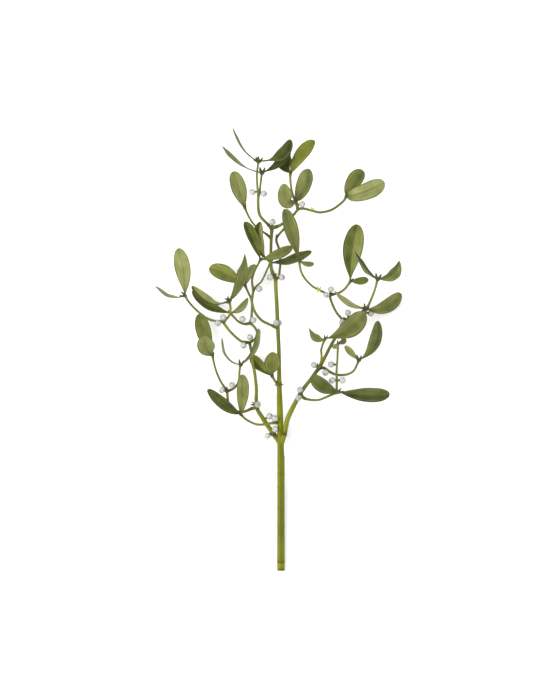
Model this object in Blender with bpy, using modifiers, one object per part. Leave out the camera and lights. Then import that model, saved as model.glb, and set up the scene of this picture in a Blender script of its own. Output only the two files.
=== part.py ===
"""Mistletoe bunch: a cut stem that lies on a surface, with three main branches, sprays of paired leaves
and white berries at the forks.

All dimensions are in millimetres. X runs across the bunch, Y from the cut end to the tips, and Z up from
the surface that it lies on. Every stem is a row of (x, y, z, radius) stations that a smooth tube follows.
"""

import math

import bmesh
import bpy
from mathutils import Quaternion, Vector
from mathutils.geometry import intersect_point_line

MM = 0.001
UP = Vector((0.0, 0.0, 1.0))

# Driving dimensions
BERRY_RADIUS = 4.3
LEAF_THICKNESS = 0.9
PETIOLE_WIDTH = 2.4
BASE_OFFSET = 0.6
KNOT_RADIUS = 2.0
JOINT_GAP = 0.4
BERRY_GAP = 0.45

# How finely the shapes are divided
STEM_STEP = 9.0
MAIN_SIDES = 2
TWIG_SIDES = 1
LEAF_ACROSS = 4
LEAF_ALONG = 7
BERRY_SEGMENTS = 10
BERRY_RINGS = 5

# Leaf outline: where along the blade it is widest, and how full its neck is
WIDEST_AT = 0.62
NECK_POWER = 0.5

COLOURS = {
    "stem": (0.19, 0.25, 0.06),
    "leaf": (0.22, 0.28, 0.07),
    "berry": (0.80, 0.79, 0.77),
}
ROUGHNESS = {"stem": 0.55, "leaf": 0.5, "berry": 0.2}

# ---------------------------------------------------------------- the woody frame

TRUNK = [
    (1.7, -266.2, 4.2, 4.5), (1.7, -253.0, 4.2, 4.6), (1.7, -215.0, 6.0, 4.5), (1.7, -170.0, 9.0, 4.5),
    (1.7, -134.0, 11.5, 4.5), (1.5, -124.0, 12.2, 4.3), (1.2, -114.0, 13.0, 4.0), (1.0, -90.0, 15.0, 3.8),
    (0.3, -66.0, 17.0, 3.6), (-0.1, -50.0, 18.3, 3.2), (-0.4, -41.0, 19.0, 2.9), (-0.4, -24.0, 20.0, 2.4),
    (-0.8, 0.0, 21.6, 2.4), (-1.6, 18.0, 23.0, 2.4), (-2.6, 40.0, 24.6, 2.4), (-3.5, 60.0, 26.0, 2.3),
    (-4.4, 76.0, 27.0, 2.3), (-4.9, 86.0, 28.0, 2.4), (-8.2, 92.0, 28.6, 2.2), (-10.2, 103.0, 29.5, 1.9),
    (-10.2, 126.0, 31.5, 1.8), (-9.0, 147.6, 33.0, 2.3),
]
LEFT_BRANCH = [
    (0.3, -112.0, 13.2, 2.9), (-5.8, -102.2, 14.0, 2.8), (-12.0, -94.1, 14.6, 2.8), (-17.9, -85.4, 15.0, 2.8),
    (-22.4, -78.2, 15.8, 2.6), (-26.6, -70.6, 17.0, 2.4), (-28.0, -59.0, 18.0, 2.2), (-27.7, -48.0, 19.0, 2.0),
    (-28.7, -36.0, 20.0, 1.9), (-30.4, -24.0, 21.0, 1.9), (-32.5, -14.0, 21.5, 1.8), (-33.8, -2.0, 22.0, 1.8),
    (-36.0, 9.6, 22.5, 1.8),
]
LEFT_BRANCH_INNER = [
    (-36.0, 9.6, 22.5, 1.7), (-31.6, 11.6, 23.0, 1.6), (-28.0, 16.0, 24.0, 1.6), (-27.2, 23.0, 25.0, 1.6),
    (-31.0, 28.8, 25.0, 1.6), (-35.4, 33.0, 25.0, 1.6),
]
RIGHT_BRANCH = [
    (2.2, -113.0, 13.4, 2.8), (4.9, -104.4, 17.4, 2.8), (6.9, -96.0, 20.4, 2.9), (9.3, -83.9, 21.5, 3.0),
    (14.5, -71.8, 22.0, 3.0), (20.7, -59.8, 22.0, 2.8), (25.3, -51.3, 22.0, 2.6), (31.8, -42.0, 22.0, 2.4),
    (37.6, -34.8, 22.0, 2.3), (42.6, -27.7, 22.4, 2.3), (47.8, -20.6, 22.8, 2.3), (55.0, -7.4, 22.4, 2.1),
    (59.8, 2.2, 22.0, 2.0), (64.4, 10.6, 21.5, 1.9), (69.0, 18.0, 21.0, 1.8), (72.6, 26.4, 21.0, 1.7),
    (76.2, 36.0, 21.0, 1.7),
]
RIGHT_BRANCH_UPPER = [
    (76.2, 36.0, 21.0, 1.7), (73.4, 39.4, 22.0, 1.7), (68.5, 45.3, 24.0, 1.6), (64.0, 53.9, 26.0, 1.6),
    (60.9, 62.4, 27.4, 1.6), (60.6, 66.6, 28.0, 1.7),
]
CENTRE_TWIG = [
    (-4.6, 84.0, 27.6, 1.4), (-0.8, 88.0, 25.4, 1.4), (0.2, 96.0, 23.0, 1.4), (1.0, 104.4, 20.0, 1.4),
    (0.4, 113.0, 19.0, 1.4), (-0.8, 122.4, 19.0, 1.5), (-3.6, 131.0, 20.4, 1.5), (-3.3, 135.4, 20.8, 1.5),
    (0.7, 140.8, 20.0, 1.4), (5.6, 146.0, 19.0, 1.3),
]

# ---------------------------------------------------------------- the leafy sprays
# Each spray grows from a woody stem. "collar" is how far along its first twig the two meet. A twig is a row
# of stations. A leaf is (base, tip, width, roll, bend, twist, point, neck): roll turns the blade about its
# length, in degrees, bend is how far the middle of its rib lies off the straight line, twist is added to
# roll at the tip, point is 0 for a round end and 1 for a sharp one, and a larger neck is a longer stalk.

SPRAYS = {
    "spray_crown_left": {
        "parent": "main_stem",
        "collar": 7.0,
        "twigs": [
            [(-9.0, 145.0, 33.0, 1.7), (-14.4, 151.2, 34.0, 1.7), (-22.2, 159.4, 35.0, 1.8),
             (-25.0, 166.8, 36.0, 1.8), (-25.6, 178.0, 37.0, 1.7), (-25.4, 185.0, 38.0, 1.6),
             (-26.6, 198.0, 40.0, 1.3), (-27.0, 210.0, 41.5, 1.3), (-25.2, 225.6, 42.0, 1.4)],
            [(-25.4, 184.6, 38.0, 1.4), (-23.6, 189.0, 36.6, 1.3), (-22.8, 198.0, 35.0, 1.2),
             (-21.0, 212.4, 33.0, 1.4)],
        ],
        "leaves": [
            ((-25.2, 225.6, 42.0), (-55.6, 265.9, 38.0), 15.0, 76.0, (-3.9, -4.9, 0.0), 0.0, 0.0, 1.5),
            ((-25.2, 225.6, 42.0), (12.8, 251.3, 48.0), 17.0, 34.0, (4.4, -6.8, 2.0), 0.0, 0.0, 2.5),
            ((-21.0, 212.4, 33.0), (-68.8, 245.4, 27.0), 16.0, 68.0, (-4.0, -5.0, 0.0), 0.0, 0.0, 2.5),
            ((-21.0, 212.4, 33.0), (13.0, 237.0, 37.0), 12.5, -34.0, (1.8, -2.8, 1.0), 0.0, 0.0, 0.6),
        ],
        "buds": [
            ((-25.2, 226.4, 42.2), (-0.2, 1.0, 0.2)), ((-24.0, 226.0, 42.4), (0.6, 1.0, 0.5)),
            ((-21.0, 213.0, 33.2), (0.0, 1.0, 0.3)),
        ],
    },
    "spray_crown_right": {
        "parent": "main_stem",
        "collar": 6.5,
        "twigs": [
            [(-9.4, 146.6, 33.0, 2.1), (-2.5, 148.3, 35.0, 1.9), (4.2, 151.8, 36.0, 1.7),
             (16.2, 161.4, 37.0, 1.6), (22.2, 168.2, 37.0, 1.7), (28.4, 169.4, 37.0, 1.6),
             (39.0, 167.0, 36.0, 1.5), (48.6, 165.0, 34.0, 1.5), (60.6, 167.5, 32.0, 1.5),
             (69.0, 172.4, 30.0, 1.5), (77.0, 179.4, 29.0, 1.5), (79.8, 184.2, 29.0, 1.5)],
            [(22.0, 168.2, 37.0, 1.5), (19.6, 175.0, 35.4, 1.4), (17.2, 182.0, 34.0, 1.4),
             (14.4, 192.0, 33.0, 1.4), (13.0, 204.0, 32.0, 1.4), (13.0, 211.8, 32.0, 1.5)],
            [(22.4, 168.4, 37.0, 1.4), (21.4, 174.0, 39.6, 1.3), (19.8, 178.2, 41.0, 1.4)],
        ],
        "leaves": [
            ((79.8, 184.2, 29.0), (99.2, 217.0, 20.0), 20.5, -24.0, (-0.4, 0.4, 0.0), 0.0, 0.0, -0.4),
            ((79.8, 184.2, 29.0), (126.0, 201.8, 26.0), 21.0, 14.0, (0.0, -2.6, 4.0), 0.0, 0.0, -0.6),
            ((13.0, 211.8, 32.0), (42.0, 250.8, 38.0), 18.0, -28.0, (-2.6, 1.0, 2.0), 0.0, 0.0, -0.3),
            ((13.0, 211.8, 32.0), (10.0, 238.5, 20.0), 18.5, 10.0, (-5.8, -1.6, 0.0), 0.0, 0.0, 0.0),
            ((19.8, 178.2, 41.0), (34.4, 216.0, 50.0), 20.0, -22.0, (1.6, -1.5, 2.0), 0.0, 0.0, -0.5),
            ((19.8, 178.2, 41.0), (5.8, 197.6, 64.0), 19.0, 0.0, (-3.6, -10.4, -2.0), 0.0, 0.0, 0.0),
        ],
        "buds": [
            ((80.0, 184.8, 29.2), (0.4, 1.0, 0.3)), ((13.0, 212.4, 32.2), (0.0, 1.0, 0.3)),
            ((19.8, 178.8, 41.2), (-0.1, 1.0, 0.5)), ((39.0, 168.0, 36.4), (0.0, 1.0, 0.2)),
        ],
    },
    "twig_crown_lower_left": {
        "parent": "main_stem",
        "collar": 6.4,
        "twigs": [
            [(-10.4, 134.6, 32.0, 1.4), (-14.8, 138.4, 31.6, 1.3), (-19.2, 141.6, 31.0, 1.2),
             (-25.8, 146.4, 30.0, 1.3), (-31.4, 151.8, 29.0, 1.3), (-37.0, 160.6, 28.0, 1.3),
             (-41.6, 171.0, 28.0, 1.5)],
        ],
        "leaves": [
            ((-41.6, 171.0, 28.0), (-55.2, 214.8, 26.0), 19.0, 16.0, (0.2, -1.4, 3.0), 0.0, 0.0, -0.2),
        ],
        "buds": [((-41.8, 171.8, 28.2), (-0.3, 1.0, 0.3))],
    },
    "spray_centre_left": {
        "parent": "main_stem",
        "collar": 6.0,
        "twigs": [
            [(-2.6, 27.0, 24.0, 1.7), (-8.2, 29.4, 26.0, 1.6), (-14.6, 32.2, 28.0, 1.6),
             (-22.0, 36.4, 30.0, 1.6), (-29.0, 45.2, 32.0, 1.6), (-32.9, 57.2, 34.0, 1.6),
             (-31.6, 71.0, 35.6, 1.6), (-32.8, 82.8, 38.0, 1.4), (-31.0, 91.0, 40.0, 1.2),
             (-27.6, 99.0, 41.4, 1.2), (-22.8, 108.0, 42.0, 1.4)],
            [(-31.4, 70.6, 35.4, 1.4), (-28.0, 76.4, 33.0, 1.3), (-22.3, 81.7, 29.4, 1.1),
             (-17.9, 89.9, 25.6, 1.1), (-14.4, 98.1, 22.6, 1.1), (-10.8, 105.0, 22.0, 1.4)],
        ],
        "leaves": [
            ((-22.8, 108.0, 42.0), (-41.8, 153.0, 47.0), 16.0, 34.0, (0.7, 1.4, 2.0), 0.0, 0.0, 0.0),
            ((-22.8, 108.0, 42.0), (15.6, 123.6, 39.0), 14.5, 40.0, (0.0, -1.2, 3.0), 0.0, 0.0, 0.0),
            ((-10.8, 105.0, 22.0), (-22.6, 153.4, 43.0), 15.0, -20.0, (-7.0, -5.0, 3.0), 0.0, 0.0, 1.5),
            ((-10.8, 105.0, 22.0), (38.4, 118.8, 25.0), 16.0, -44.0, (0.0, -3.6, 4.0), 0.0, 0.0, 0.0),
        ],
        "buds": [
            ((-22.8, 108.8, 42.2), (0.0, 1.0, 0.4)), ((-10.8, 105.6, 22.0), (0.1, 1.0, -0.2)),
        ],
    },
    "twig_low_centre": {
        "parent": "main_stem",
        "collar": 4.6,
        "twigs": [
            [(-0.8, -41.8, 19.4, 1.6), (-5.4, -36.8, 22.6, 1.5), (-9.0, -30.6, 25.0, 1.6)],
        ],
        "leaves": [
            ((-9.0, -30.6, 25.0), (-7.6, -2.0, 46.0), 19.5, 0.0, (-0.4, -3.0, 4.0), 0.0, 0.0, 0.7),
            ((-9.0, -30.6, 25.0), (-34.2, -5.6, 9.6), 15.0, 30.0, (-1.9, -1.6, -3.0), 0.0, 0.0, 0.0),
        ],
        "buds": [((-9.4, -29.8, 25.2), (-0.3, 1.0, 0.4))],
    },
    "twig_lower_left": {
        "parent": "main_stem",
        "collar": 6.0,
        "twigs": [
            [(1.2, -87.0, 15.4, 1.7), (-6.0, -87.3, 19.4, 1.6), (-13.0, -88.0, 22.0, 1.5),
             (-21.0, -89.2, 24.0, 1.5), (-28.2, -88.6, 25.6, 1.5), (-35.4, -85.6, 27.4, 1.5),
             (-41.6, -81.6, 29.4, 1.5), (-46.2, -76.8, 31.0, 1.6)],
        ],
        "leaves": [
            ((-46.2, -76.8, 31.0), (-44.2, -28.6, 40.0), 15.0, 15.0, (1.0, 0.0, 4.0), 0.0, 0.0, -0.3),
            ((-46.2, -76.8, 31.0), (-86.0, -46.4, 29.0), 15.5, 30.0, (0.8, -4.6, 2.0), 0.0, 0.0, -0.2),
        ],
        "buds": [((-46.8, -76.2, 31.2), (-0.4, 1.0, 0.3))],
    },
    "spray_left_low": {
        "parent": "left_branch",
        "collar": 7.6,
        "twigs": [
            [(-26.6, -69.0, 17.2, 1.8), (-32.6, -69.8, 18.0, 1.8), (-39.0, -72.5, 18.6, 1.8),
             (-44.0, -73.9, 19.0, 1.7), (-52.2, -73.2, 20.0, 1.7), (-58.2, -68.6, 21.4, 1.7),
             (-61.8, -61.2, 22.6, 1.6), (-63.4, -49.4, 24.0, 1.7), (-70.6, -37.4, 24.0, 1.5),
             (-75.4, -26.6, 24.0, 1.4), (-78.6, -15.6, 24.0, 1.4), (-80.4, -6.0, 24.0, 1.5)],
            [(-63.2, -49.8, 24.0, 1.5), (-55.8, -46.4, 23.0, 1.4), (-50.6, -40.8, 22.0, 1.4),
             (-48.6, -33.6, 21.4, 1.4), (-48.0, -24.0, 21.0, 1.4), (-46.9, -17.4, 21.0, 1.5)],
        ],
        "leaves": [
            ((-80.4, -6.0, 24.0), (-96.4, 44.2, 13.0), 18.5, 12.0, (-1.6, -1.0, 1.0), 0.0, 0.0, 0.0),
            ((-80.4, -6.0, 24.0), (-88.6, 17.4, 58.0), 21.0, 0.0, (-2.3, -3.0, 2.0), 0.0, 0.0, 0.0),
            ((-46.9, -17.4, 21.0), (-69.2, 14.8, 19.0), 12.0, 74.0, (-5.8, -6.4, 0.0), 0.0, 0.0, 0.0),
            ((-46.9, -17.4, 21.0), (-25.2, 26.4, 40.0), 14.0, 62.0, (5.2, -4.0, 3.0), 0.0, 0.0, 0.0),
        ],
        "buds": [
            ((-80.6, -5.2, 24.2), (-0.2, 1.0, 0.4)), ((-46.9, -16.6, 21.2), (0.1, 1.0, 0.4)),
        ],
    },
    "spray_left_outer": {
        "parent": "left_branch",
        "collar": 5.0,
        "twigs": [
            [(-35.8, 9.0, 22.5, 1.6), (-41.0, 9.9, 24.0, 1.6), (-46.4, 11.2, 25.0, 1.6),
             (-53.4, 16.8, 26.0, 1.6), (-60.8, 24.4, 26.4, 1.6), (-67.2, 33.0, 26.6, 1.7),
             (-70.6, 35.0, 26.8, 1.5), (-78.0, 35.4, 27.0, 1.4), (-85.8, 37.8, 27.0, 1.4),
             (-94.2, 43.6, 26.0, 1.4), (-103.0, 51.4, 24.0, 1.4), (-110.2, 59.8, 21.6, 1.4),
             (-113.4, 66.0, 20.0, 1.5)],
            [(-67.0, 33.0, 26.8, 1.5), (-63.8, 37.4, 29.0, 1.5), (-60.4, 41.4, 31.0, 1.4),
             (-58.6, 50.4, 34.0, 1.4), (-60.0, 58.8, 36.0, 1.5)],
        ],
        "leaves": [
            ((-113.4, 66.0, 20.0), (-121.4, 122.4, 28.0), 19.6, -12.0, (2.4, 0.0, 4.0), 0.0, 0.0, 0.0),
            ((-113.4, 66.0, 20.0), (-149.9, 78.0, 3.2), 14.0, 72.0, (0.2, -7.0, 0.0), 0.0, 0.0, 1.6),
            ((-60.0, 58.8, 36.0), (-105.0, 77.0, 34.0), 13.0, 30.0, (-0.6, -10.9, 3.0), 0.0, 0.0, 1.5),
            ((-60.0, 58.8, 36.0), (-41.2, 115.6, 50.0), 15.5, -30.0, (6.2, -1.6, 3.0), 0.0, 1.0, -0.3),
        ],
        "buds": [
            ((-113.8, 66.8, 20.2), (-0.4, 1.0, 0.3)), ((-60.0, 59.6, 36.2), (0.0, 1.0, 0.4)),
            ((-60.6, 59.2, 36.2), (-0.5, 1.0, 0.4)),
        ],
    },
    "spray_left_inner": {
        "parent": "left_branch",
        "collar": 4.6,
        "twigs": [
            [(-35.2, 32.4, 25.0, 1.5), (-33.8, 38.4, 24.6, 1.5), (-33.2, 48.0, 24.0, 1.4),
             (-33.6, 60.0, 23.0, 1.4), (-38.4, 71.2, 22.0, 1.4), (-41.4, 78.0, 21.6, 1.5)],
        ],
        "leaves": [
            ((-41.4, 78.0, 21.6), (-84.3, 100.0, 17.0), 20.5, 22.0, (0.2, 1.6, 3.0), 0.0, 0.0, 0.2),
            ((-41.4, 78.0, 21.6), (-29.4, 103.8, 18.0), 12.0, -30.0, (-1.0, 0.0, 2.0), 0.0, 0.0, 0.0),
        ],
        "buds": [((-41.8, 78.8, 21.8), (-0.2, 1.0, 0.3))],
    },
    "twig_left_inner": {
        "parent": "left_branch",
        "collar": 5.0,
        "twigs": [
            [(-35.0, 32.6, 25.0, 1.5), (-40.6, 31.6, 24.4, 1.5), (-45.2, 32.4, 23.6, 1.5),
             (-50.8, 35.8, 22.6, 1.4), (-59.4, 45.0, 20.0, 1.5)],
        ],
        "leaves": [
            ((-59.4, 45.0, 20.0), (-104.7, 72.5, 13.0), 14.0, 30.0, (-2.2, -5.2, 1.0), 0.0, 0.0, 0.0),
            ((-59.4, 45.0, 20.0), (-38.0, 63.2, 17.0), 10.0, 30.0, (1.4, -3.6, 1.0), 0.0, 0.2, 0.0),
        ],
        "buds": [((-60.0, 45.8, 20.2), (-0.4, 1.0, 0.3))],
    },
    "twig_right_centre": {
        "parent": "right_branch",
        "collar": 4.6,
        "twigs": [
            [(60.6, 66.0, 28.2, 1.6), (53.5, 69.3, 32.0, 1.5), (46.8, 72.6, 36.0, 1.5),
             (39.0, 76.8, 40.0, 1.4), (30.6, 85.2, 44.0, 1.4), (25.4, 94.8, 47.0, 1.3),
             (23.4, 106.8, 49.0, 1.5)],
        ],
        "leaves": [
            ((23.4, 106.8, 49.0), (6.2, 168.0, 56.0), 18.4, 20.0, (0.0, 0.0, 4.0), 0.0, 0.0, 0.3),
            ((23.4, 106.8, 49.0), (41.2, 102.4, 46.0), 8.5, 40.0, (0.0, -1.2, 1.0), 0.0, 0.0, 0.0),
        ],
        "buds": [
            ((23.4, 107.6, 49.2), (0.1, 1.0, 0.4)), ((46.8, 73.4, 36.4), (0.0, 1.0, 0.3)),
        ],
    },
    "twig_right_upper": {
        "parent": "right_branch",
        "collar": 4.6,
        "twigs": [
            [(60.6, 66.4, 28.0, 1.6), (67.2, 67.8, 27.0, 1.5), (72.6, 69.6, 26.4, 1.5),
             (78.8, 74.2, 26.0, 1.5), (85.2, 82.8, 26.0, 1.5)],
        ],
        "leaves": [
            ((85.2, 82.8, 26.0), (93.8, 150.8, 30.0), 24.5, 8.0, (-3.1, 0.0, 2.0), 0.0, 0.0, 0.2),
            ((85.2, 82.8, 26.0), (106.8, 84.2, 23.0), 11.5, 36.0, (0.0, 0.0, 1.0), 0.0, 0.0, -0.3),
        ],
        "buds": [((85.4, 83.6, 26.2), (0.2, 1.0, 0.3))],
    },
    "spray_right_outer": {
        "parent": "right_branch",
        "collar": 5.0,
        "twigs": [
            [(76.0, 35.6, 21.0, 1.6), (82.0, 36.8, 19.6, 1.6), (90.0, 37.4, 18.0, 1.5),
             (97.6, 38.6, 17.0, 1.5), (102.2, 43.0, 17.0, 1.5), (103.8, 49.2, 18.0, 1.7),
             (107.2, 54.8, 20.0, 1.5), (110.3, 61.8, 22.0, 1.5), (114.5, 73.0, 24.4, 1.4),
             (117.6, 85.2, 26.0, 1.5)],
        ],
        "leaves": [
            ((103.8, 49.2, 18.0), (65.4, 71.4, 37.0), 11.0, 46.0, (-2.4, -3.6, 1.0), 0.0, 0.7, 0.0),
            ((103.8, 49.2, 18.0), (146.6, 69.4, 0.6), 17.0, 6.0, (2.2, -6.8, 3.0), 0.0, 0.0, 0.0),
            ((117.6, 85.2, 26.0), (90.0, 117.6, 48.0), 14.0, 60.0, (-2.1, -3.8, 2.0), 0.0, 1.0, 0.0),
            ((117.6, 85.2, 26.0), (143.2, 107.3, 33.0), 17.0, 34.0, (4.8, -5.6, 2.0), 0.0, 0.6, 0.0),
        ],
        "buds": [
            ((103.8, 50.0, 18.4), (0.0, 1.0, 0.6)), ((117.6, 86.0, 26.2), (0.1, 1.0, 0.4)),
        ],
    },
    "twig_right_middle": {
        "parent": "right_branch",
        "collar": 7.0,
        "twigs": [
            [(47.8, -20.8, 22.8, 1.6), (49.6, -15.0, 28.6, 1.5), (50.4, -7.0, 31.0, 1.4),
             (49.9, 0.0, 31.6, 1.4), (52.0, 8.0, 31.6, 1.4), (54.8, 13.8, 31.4, 1.5)],
        ],
        "leaves": [
            ((54.8, 13.8, 31.4), (101.8, 45.4, 37.0), 25.0, 50.0, (2.2, -4.6, 4.0), -46.0, 0.0, 0.4),
            ((54.8, 13.8, 31.4), (35.4, 27.6, 24.0), 13.5, 40.0, (-0.4, -7.0, 0.0), 0.0, 1.0, 0.0),
        ],
        "buds": [((54.8, 14.6, 31.6), (0.0, 1.0, 0.4))],
    },
    "spray_right_low": {
        "parent": "right_branch",
        "collar": 8.4,
        "twigs": [
            [(25.6, -51.8, 22.0, 1.7), (28.8, -57.0, 20.0, 1.7), (36.6, -59.4, 19.0, 1.5),
             (46.2, -59.8, 19.0, 1.4), (54.0, -57.2, 20.0, 1.5), (64.0, -52.8, 21.6, 1.5),
             (71.4, -50.4, 22.0, 1.6)],
            [(69.4, -51.0, 22.0, 1.5), (68.6, -45.6, 24.4, 1.4), (68.8, -36.0, 26.0, 1.5),
             (68.4, -26.0, 26.6, 1.3), (69.4, -10.0, 26.2, 1.2), (70.2, 8.0, 25.6, 1.5)],
        ],
        "leaves": [
            ((71.4, -50.4, 22.0), (39.0, -28.8, 39.0), 17.5, -14.0, (-1.8, -3.8, 3.0), 0.0, 0.0, 0.0),
            ((71.4, -50.4, 22.0), (133.0, -53.2, 11.0), 18.4, 14.0, (0.0, -1.2, 4.0), 0.0, 0.0, 0.0),
            ((70.2, 8.0, 25.6), (64.6, 1.6, 45.0), 8.0, 30.0, (0.0, 0.0, 2.0), 0.0, 0.0, 0.0),
            ((70.2, 8.0, 25.6), (79.0, 15.0, 22.0), 8.0, 20.0, (1.0, -1.0, 1.0), 0.0, 0.0, 0.0),
        ],
        "buds": [
            ((72.2, -50.0, 22.2), (1.0, 0.6, 0.3)), ((70.2, 8.8, 25.8), (0.1, 1.0, 0.2)),
        ],
    },
    "twig_right_lower": {
        "parent": "right_branch",
        "collar": 5.4,
        "twigs": [
            [(47.4, -20.8, 22.8, 1.6), (54.0, -21.4, 20.6, 1.6), (60.6, -25.9, 19.6, 1.6),
             (67.0, -28.8, 19.0, 1.5), (75.0, -29.8, 19.0, 1.4), (82.8, -28.4, 19.4, 1.4),
             (89.8, -23.7, 20.0, 1.4), (95.4, -12.0, 20.6, 1.5)],
        ],
        "leaves": [
            ((95.4, -12.0, 20.6), (78.4, 5.4, 24.0), 9.5, 34.0, (-0.6, -0.2, 1.0), 0.0, 0.0, 0.0),
            ((95.4, -12.0, 20.6), (117.8, 35.4, 24.0), 15.0, -14.0, (6.4, -5.2, 3.0), 0.0, 0.0, 0.3),
        ],
        "buds": [((95.4, -11.2, 20.8), (0.0, 1.0, 0.4))],
    },
}

# Woody buds and scars: (place, direction)
STEM_BUDS = {
    "main_stem": [((1.6, -41.4, 19.2), (1.0, 0.3, 0.1)), ((-7.4, 92.6, 28.7), (1.0, 0.4, 0.0))],
    "left_branch": [((-27.6, -64.4, 17.6), (-1.0, 0.5, 0.2))],
    "right_branch": [((77.6, 37.6, 21.2), (0.8, 1.0, 0.2))],
}

# Berries: name and (x, y, height to start from, side). A berry is moved up (side 1) or down (side -1) from
# that height until it clears the stems.
BERRIES = {
    "crown_left_a": (-32.4, 189.0, 38.0, 1),
    "crown_left_b": (-18.6, 187.2, 38.0, 1),
    "crown_fork": (-8.4, 153.6, 34.0, 1),
    "crown_right": (27.0, 174.4, 38.0, 1),
    "leader_upper_a": (-11.4, 87.4, 29.0, 1),
    "leader_upper_b": (2.8, 87.4, 28.0, 1),
    "centre_left_fork": (-24.4, 73.4, 34.0, 1),
    "right_upper_fork_a": (61.6, 73.0, 30.0, 1),
    "right_upper_fork_b": (56.0, 66.4, 30.0, 1),
    "left_outer_fork_a": (-73.4, 32.6, 28.0, 1),
    "left_outer_fork_b": (-67.6, 39.4, 28.0, 1),
    "left_inner_fork_a": (-44.4, 37.4, 25.0, 1),
    "left_inner_fork_b": (-31.2, 36.4, 26.0, 1),
    "leader_middle_a": (-4.0, 33.0, 26.0, 1),
    "leader_middle_b": (-1.0, 33.0, 22.0, -1),
    "left_branch_fork_a": (-35.4, 15.8, 24.0, 1),
    "left_branch_fork_b": (-43.2, 5.8, 24.0, 1),
    "left_low_fork_a": (-57.0, -41.4, 24.0, 1),
    "left_low_fork_b": (-69.2, -47.4, 24.0, 1),
    "left_branch_low": (-26.2, -65.0, 19.0, 1),
    "lower_left_a": (-12.0, -79.2, 19.0, 1),
    "lower_left_b": (-5.6, -81.6, 19.0, 1),
    "crotch_a": (-5.4, -94.8, 16.0, 1),
    "crotch_b": (-14.6, -102.8, 15.0, 1),
    "right_outer_fork_a": (82.2, 45.2, 22.0, 1),
    "right_outer_fork_b": (75.2, 33.8, 22.0, 1),
    "right_outer_node": (110.0, 44.6, 12.0, -1),
    "right_middle_a": (41.4, -17.6, 23.0, 1),
    "right_middle_b": (61.8, -16.8, 23.0, 1),
    "right_middle_c": (55.0, -26.8, 22.0, 1),
    "right_low_a": (63.0, -36.0, 26.0, 1),
    "right_low_b": (75.6, -36.0, 26.0, 1),
    "right_branch_low_a": (22.8, -57.0, 23.0, 1),
    "right_branch_low_b": (24.6, -47.0, 23.0, 1),
}


# ---------------------------------------------------------------- making


def clear_scene():
    """Remove whatever the file starts with."""
    for item in list(bpy.data.objects):
        bpy.data.objects.remove(item, do_unlink=True)


def new_collection(name):
    """A collection linked to the scene."""
    collection = bpy.data.collections.new(name)
    bpy.context.scene.collection.children.link(collection)
    return collection


def make_material(name):
    """A plain surface in the part's colour."""
    material = bpy.data.materials.new(name)
    material.use_nodes = True
    surface = material.node_tree.nodes["Principled BSDF"]
    surface.inputs["Base Color"].default_value = (*COLOURS[name], 1.0)
    surface.inputs["Roughness"].default_value = ROUGHNESS[name]
    surface.inputs["Metallic"].default_value = 0.0
    return material


def smooth_path(stations):
    """Points along a smooth curve through the stations, about STEM_STEP apart, as (place, radius)."""
    knots = [Vector(station) for station in stations]
    knots = [2 * knots[0] - knots[1], *knots, 2 * knots[-1] - knots[-2]]
    path = []
    for before, start, end, after in zip(knots, knots[1:], knots[2:], knots[3:]):
        count = max(1, round((end.xyz - start.xyz).length / STEM_STEP))
        for step in range(count):
            t = step / count
            path.append(
                0.5
                * (
                    2 * start
                    + t * (end - before)
                    + t * t * (2 * before - 5 * start + 4 * end - after)
                    + t**3 * (3 * start - before - 3 * end + after)
                )
            )
    path.append(knots[-2])
    return [(Vector(point[:3]), point[3]) for point in path]


def split_path(path, distance):
    """The path up to a distance along it, and the path from JOINT_GAP past that."""
    stub, rest, run = [path[0]], [], 0.0
    for (start, thick), (end, thin) in zip(path, path[1:]):
        span = (end - start).length
        for place, out in ((distance, stub), (distance + JOINT_GAP, rest)):
            if run < place <= run + span:
                share = (place - run) / span
                out.append((start.lerp(end, share), thick + (thin - thick) * share))
        if run + span < distance:
            stub.append((end, thin))
        if run + span > distance + JOINT_GAP:
            rest.append((end, thin))
        run += span
    return stub, rest


def mesh_object(name, mesh, collection):
    item = bpy.data.objects.new(name, mesh)
    collection.objects.link(item)
    return item


def tube(path, sides, workshop):
    """A closed round tube along (place, radius) points, as a mesh object."""
    curve = bpy.data.curves.new("tube", "CURVE")
    curve.dimensions = "3D"
    curve.bevel_depth = MM
    curve.bevel_resolution = sides
    curve.use_fill_caps = True
    spline = curve.splines.new("POLY")
    spline.points.add(len(path) - 1)
    for point, (place, radius) in zip(spline.points, path):
        point.co = (*(place * MM), 1.0)
        point.radius = radius
    guide = mesh_object("tube", curve, workshop)
    graph = bpy.context.evaluated_depsgraph_get()
    mesh = bpy.data.meshes.new_from_object(guide.evaluated_get(graph))
    bpy.data.objects.remove(guide, do_unlink=True)
    shape = bmesh.new()
    shape.from_mesh(mesh)
    bmesh.ops.remove_doubles(shape, verts=shape.verts, dist=0.00001)
    shape.to_mesh(mesh)
    shape.free()
    return mesh_object("tube", mesh, workshop)


def blade_width(t, point, neck):
    """Share of the full width at t from base (0) to tip (1): a narrow neck, then a round or sharp end."""
    if t < WIDEST_AT:
        return (0.5 - 0.5 * math.cos(math.pi * t / WIDEST_AT)) ** (NECK_POWER * (1.0 + neck))
    past = (t - WIDEST_AT) / (1.0 - WIDEST_AT)
    return math.sqrt(max(0.0, 1.0 - past**2)) * (1.0 - 0.8 * point * past)


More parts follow.
